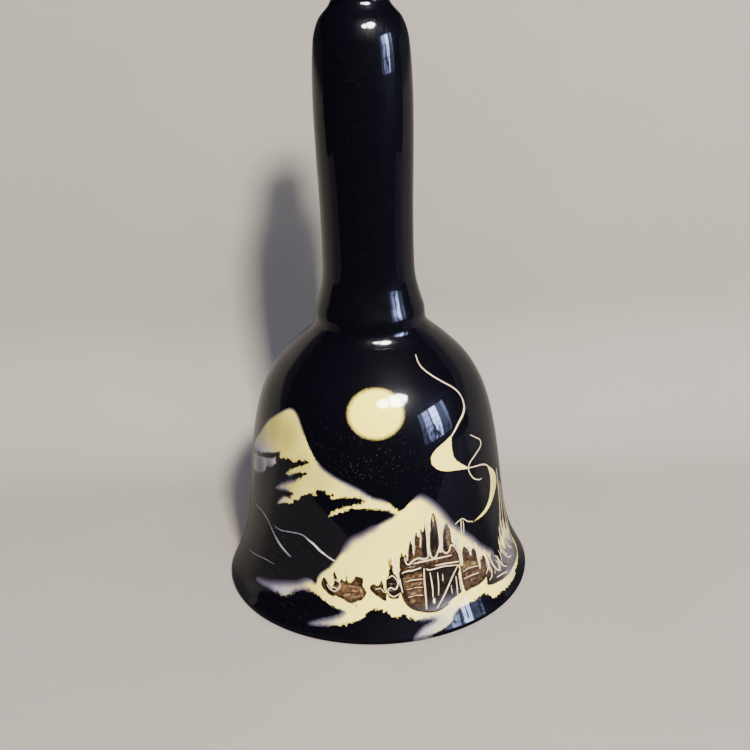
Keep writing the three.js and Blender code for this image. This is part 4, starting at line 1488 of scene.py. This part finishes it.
class BELL_OT_stage(bpy.types.Operator):
    """Makes the floor, the backdrop and the light"""

    bl_idname = "bell.stage"
    bl_label = "Stage"

    def execute(self, context):
        finish = floor_finish()
        self.backdrop(finish)
        self.far_floor(finish)
        self.world(context)
        powers = context.scene.bell_stage
        lights = (
            # name, place, target, width, power, colour
            ("soft_top", (0.1, -0.25, 0.9), (0, 0, 0.03), 1.1, powers.soft_power, (0.34, 0.47, 1.0)),
            ("key", (0.23, -0.78, 0.78), (0, 0, 0.07), 0.1, powers.key_power, (1.0, 0.94, 0.84)),
            ("window_light", (0.85, -0.3, 0.3), (0, 0.02, 0.06), 0.5, powers.window_power, (0.8, 0.87, 1.0)),
        )
        for light in lights:
            self.area(*light)
        self.mouth_light()
        self.lamp()
        self.window()
        return {"FINISHED"}

    def backdrop(self, finish):
        """A floor that sweeps up into a wall behind the bell, seen from its front only."""
        wide, front, back, bend, top = 450, -95, 84, 42, 165
        angle = np.linspace(0, np.pi / 2, 24)
        sweep = [(front, 0.0)]
        sweep += [(back - bend + bend * math.sin(a), bend - bend * math.cos(a)) for a in angle]
        sweep += [(back, top)]
        self.sheet("backdrop", sweep, wide, finish)
        upper = self.sheet("backdrop_top", [(back, top), (back, 620)], wide, finish)
        upper.visible_glossy = False

    def sheet(self, name, line, wide, finish):
        """A sheet along a line of (y, z), which the glaze mirrors dimly: painted shade in its reflection,
        dark in front, less dark on the wall behind, dark above the wall's brow, and a painted contact shadow
        near the bell.
        """
        points = [(x, y, z) for y, z in line for x in (-wide, wide)]
        faces = [[2 * i, 2 * i + 1, 2 * i + 3, 2 * i + 2] for i in range(len(line) - 1)]
        sheet = mesh_object(name, points, faces)
        sheet.visible_shadow = False
        material = self.one_sided(finish, name)
        tree = material.node_tree
        shader = tree.nodes["Principled BSDF"]
        tone = shader.inputs["Base Color"].links[0].from_socket
        mirrored = put(tree, "LightPath").outputs["Is Glossy Ray"]
        x, y, z = put(tree, "SeparateXYZ", {0: millimetres(tree)}).outputs
        near = span(tree, y, -6.0, 8.0, smooth=True)
        in_front = product(tree, span(tree, x, -30.0, 30.0, 0.21, 0.03), calc(tree, "SUBTRACT", 1.0, near))
        behind = product(tree, near, span(tree, x, 0.0, 90.0, 0.46, 0.23))
        brow = calc(tree, "SUBTRACT", 128.0, product(tree, calc(tree, "ABSOLUTE", x), 0.15))
        below_brow = span(tree, calc(tree, "SUBTRACT", brow, z), -8.0, 8.0, smooth=True)
        # Painted contact shadow: the mirrored sheet darkens near the bell's axis.
        contact_shadow = span(tree, self.off_axis(tree, x, y), 42.0, 100.0, 0.4, 1.0)
        level = product(tree, total(tree, in_front, behind), below_brow, contact_shadow)
        grey = put(tree, "CombineColor", {0: level, 1: level, 2: level}).outputs[0]
        # Painted shade in the reflection only: glossy rays see the sheet at this level, while other rays see
        # it plain.
        dim = blend_colours(tree, mirrored, (1, 1, 1), grey)
        dimmed = put(tree, "Mix", {0: 1.0, 6: tone, 7: dim}, data_type="RGBA", blend_type="MULTIPLY")
        tree.links.new(dimmed.outputs[2], shader.inputs["Base Color"])
        sheet.data.materials.append(material)
        return sheet

    def off_axis(self, tree, x, y):
        """How far a place is from the bell's axis, in mm."""
        return length(tree, put(tree, "CombineXYZ", {0: x, 1: y}).outputs[0])

    def one_sided(self, finish, name):
        """The finish, clear to an eye behind it and open where the bell's mouth stands."""
        material = finish.copy()
        material.name = name
        tree = material.node_tree
        behind = put(tree, "NewGeometry").outputs["Backfacing"]
        seen = put(tree, "LightPath").outputs["Is Camera Ray"]
        x, y, z = put(tree, "SeparateXYZ", {0: millimetres(tree)}).outputs
        within = calc(tree, "LESS_THAN", self.off_axis(tree, x, y), FOOT_RADII[0] + 0.8)
        opening = product(tree, within, calc(tree, "LESS_THAN", z, 1.0))
        share = calc(tree, "MAXIMUM", product(tree, behind, seen), opening)
        finished = tree.nodes["Principled BSDF"].outputs[0]
        clear = put(tree, "BsdfTransparent").outputs[0]
        shade = put(tree, "MixShader", {0: share, 1: finished, 2: clear}).outputs[0]
        tree.links.new(shade, tree.nodes["Material Output"].inputs[0])
        return material

    def far_floor(self, finish):
        """The rest of the floor, which the glaze doesn't mirror."""
        angle = np.linspace(0, 2 * np.pi, 96, endpoint=False)
        points = [(1500 * math.cos(a), 1500 * math.sin(a), -0.4) for a in angle]
        floor = mesh_object("floor", points, [list(range(96))])
        floor.data.materials.append(self.one_sided(finish, "far_floor"))
        floor.visible_glossy = False

    def world(self, context):
        """A dark room to the glaze, a faint cool fill to the rest, and the floor's tone to the eye."""
        world = bpy.data.worlds.new("room")
        context.scene.world = world
        world.use_nodes = True
        tree = world.node_tree
        background = tree.nodes["Background"]
        path = put(tree, "LightPath").outputs
        fill = blend_colours(tree, path["Is Diffuse Ray"], ROOM_DARK, ROOM_FILL)
        seen = blend_colours(tree, path["Is Camera Ray"], fill, colour_of("floor"))
        tree.links.new(seen, background.inputs[0])
        background.inputs[1].default_value = 1.0

    def light(self, data, place, target):
        """Hangs a light that the glaze doesn't mirror."""
        light = bpy.data.objects.new(data.name, data)
        bpy.context.scene.collection.objects.link(light)
        light.location = place
        light.rotation_euler = (Vector(target) - Vector(place)).to_track_quat("-Z", "Y").to_euler()
        light.visible_glossy = False

    def area(self, name, place, target, width, power, colour):
        """A soft square light."""
        data = bpy.data.lights.new(name, "AREA")
        data.shape = "SQUARE"
        data.size = width
        data.energy = power
        data.color = colour
        self.light(data, place, target)

    def mouth_light(self):
        """A narrow light under the floor, which shines up into the mouth only."""
        data = bpy.data.lights.new("mouth_light", "SPOT")
        data.energy = 0.9
        data.spot_size = math.radians(22)
        data.spot_blend = 0.4
        data.shadow_soft_size = 0.01
        self.light(data, (0, 0, -0.17), (0, 0, 0))

    def card(self, name, turn, rise, away, wide, high, glow, round_card=False):
        """A glowing card that shows in the glaze only, upright and facing the bell."""
        turn, rise = math.radians(turn), math.radians(rise)
        level = math.cos(rise)
        outward = Vector((math.sin(turn) * level, -math.cos(turn) * level, math.sin(rise)))
        across = Vector((math.cos(turn), math.sin(turn), 0))
        over = outward.cross(across)
        over *= 1 if over.z > 0 else -1
        count, start, reach = (32, 0.0, 0.5) if round_card else (4, math.pi / 4, math.sqrt(0.5))
        half_wide, half_high = wide * reach / MM, high * reach / MM
        angles = [start + 2 * math.pi * i / count for i in range(count)]
        points = [(half_wide * math.cos(a), half_high * math.sin(a), 0) for a in angles]
        card = mesh_object(name, points, [list(range(count))], smooth=False)
        place = Matrix.Translation(Vector((0, 0, 0.07)) + outward * away)
        card.matrix_world = place @ Matrix((across, over, across.cross(over))).transposed().to_4x4()
        card.data.materials.append(glow)
        card.visible_camera = False
        card.visible_diffuse = False
        card.visible_shadow = False

    def glow(self, name):
        """An emission material. Returns it, its tree and the emission node."""
        material = bpy.data.materials.new(name)
        material.use_nodes = True
        tree = material.node_tree
        emission = put(tree, "Emission")
        tree.links.new(emission.outputs[0], tree.nodes["Material Output"].inputs[0])
        return material, tree, emission

    def lamp(self):
        """Two bulbs side by side, with a faint halo."""
        for name, turn, rise, wide, high, power in BULBS:
            glow, tree, emission = self.glow(name)
            middle = put(tree, "TexCoord").outputs["Object"]
            far = length(tree, stretched(tree, middle, (2 / wide, 2 / high, 0)))
            torn = product(tree, centred(tree, noise(tree, middle, 9.0, 3.0)), 0.9)
            fall = span(tree, total(tree, far, torn), 1.0, 0.62, smooth=True)
            once = calc(tree, "LESS_THAN", put(tree, "LightPath").outputs["Glossy Depth"], 1.5)
            join(tree, emission.inputs["Strength"], product(tree, fall, once, power))
            join(tree, emission.inputs["Color"], (1.0, 0.98, 0.95))
            self.card(name, turn, rise, 1.6, wide, high, glow, round_card=True)
        glow, tree, emission = self.glow("halo")
        far = length(tree, put(tree, "TexCoord").outputs["Object"])
        fall = calc(tree, "POWER", span(tree, far, 0.62, 0.1), 3.0)
        join(tree, emission.inputs["Strength"], product(tree, fall, 1.6))
        join(tree, emission.inputs["Color"], (0.8, 0.78, 1.0))
        self.card("halo", 30, 43.5, 1.7, 1.25, 1.25, glow, round_card=True)

    def window(self):
        """A window to the right: bright panes, a dark one, and branches across its lower half."""
        wide, high = WINDOW_SIZE
        glow, tree, emission = self.glow("window")
        place = put(tree, "TexCoord").outputs["Object"]
        axes = put(tree, "SeparateXYZ", {0: place}).outputs
        across = total(tree, calc(tree, "DIVIDE", axes[0], wide), 0.5)
        up = total(tree, calc(tree, "DIVIDE", axes[1], high), 0.5)
        ramp = put(tree, "ValToRGB", {"Fac": across})
        columns = ramp.color_ramp
        columns.interpolation = "CONSTANT"
        for i, (at, value) in enumerate(WINDOW_COLUMNS):
            element = columns.elements[0] if i == 0 else columns.elements.new(at)
            element.position = at
            element.color = (value, value, value, 1.0)
        columns.elements.remove(columns.elements[-1])
        bars = calc(tree, "GREATER_THAN", calc(tree, "FRACT", product(tree, up, 5.0)), 0.09)
        twigs = noise(tree, stretched(tree, place, (34.0, 9.0, 0.0)), 1.0, 4.0, 0.6, 0.8)
        cover = span(tree, up, 0.66, 0.2, 0.34, 0.52)
        gaps = span(tree, calc(tree, "SUBTRACT", twigs, cover), -0.02, 0.03)
        fade = span(tree, up, 0.1, 0.8, 0.45, 1.0)
        sky = product(tree, ramp.outputs["Color"], bars, gaps, fade, 74.0)
        join(tree, emission.inputs["Strength"], total(tree, sky, 0.5))
        join(tree, emission.inputs["Color"], (0.47, 0.56, 1.0))
        self.card("window", 62.5, 11.0, 0.94, wide, high, glow)


PIECES = (
    BELL_OT_camera, BELL_OT_shell, BELL_OT_handle, BELL_OT_lines, BELL_OT_plaster, BELL_OT_chain,
    BELL_OT_clapper, BELL_OT_stage,
)


class BELL_PT_panel(bpy.types.Panel):
    """Builds the bell piece by piece."""

    bl_idname = "BELL_PT_panel"
    bl_label = "Porcelain hand bell"
    bl_space_type = "VIEW_3D"
    bl_region_type = "UI"
    bl_category = "Bell"

    def draw(self, context):
        scene = context.scene
        for group in (scene.bell_sizes, scene.bell_colours, scene.bell_stage):
            box = self.layout.box()
            for name in group.__annotations__:
                box.prop(group, name)
        for piece in PIECES:
            self.layout.operator(piece.bl_idname)


CLASSES = (BellSizes, BellColours, BellStage, *PIECES, BELL_PT_panel)


def register():
    """Make the operators, the panel and the scene's settings known to Blender."""
    for one in CLASSES:
        bpy.utils.register_class(one)
    bpy.types.Scene.bell_sizes = PointerProperty(type=BellSizes)
    bpy.types.Scene.bell_colours = PointerProperty(type=BellColours)
    bpy.types.Scene.bell_stage = PointerProperty(type=BellStage)


def unregister():
    """Take the settings, the panel and the operators away again."""
    del bpy.types.Scene.bell_stage
    del bpy.types.Scene.bell_colours
    del bpy.types.Scene.bell_sizes
    for one in reversed(CLASSES):
        bpy.utils.unregister_class(one)


def main():
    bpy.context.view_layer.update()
    register()
    for piece in PIECES:
        group, name = piece.bl_idname.split(".")
        getattr(getattr(bpy.ops, group), name)()


if __name__ == "__main__":
    main()
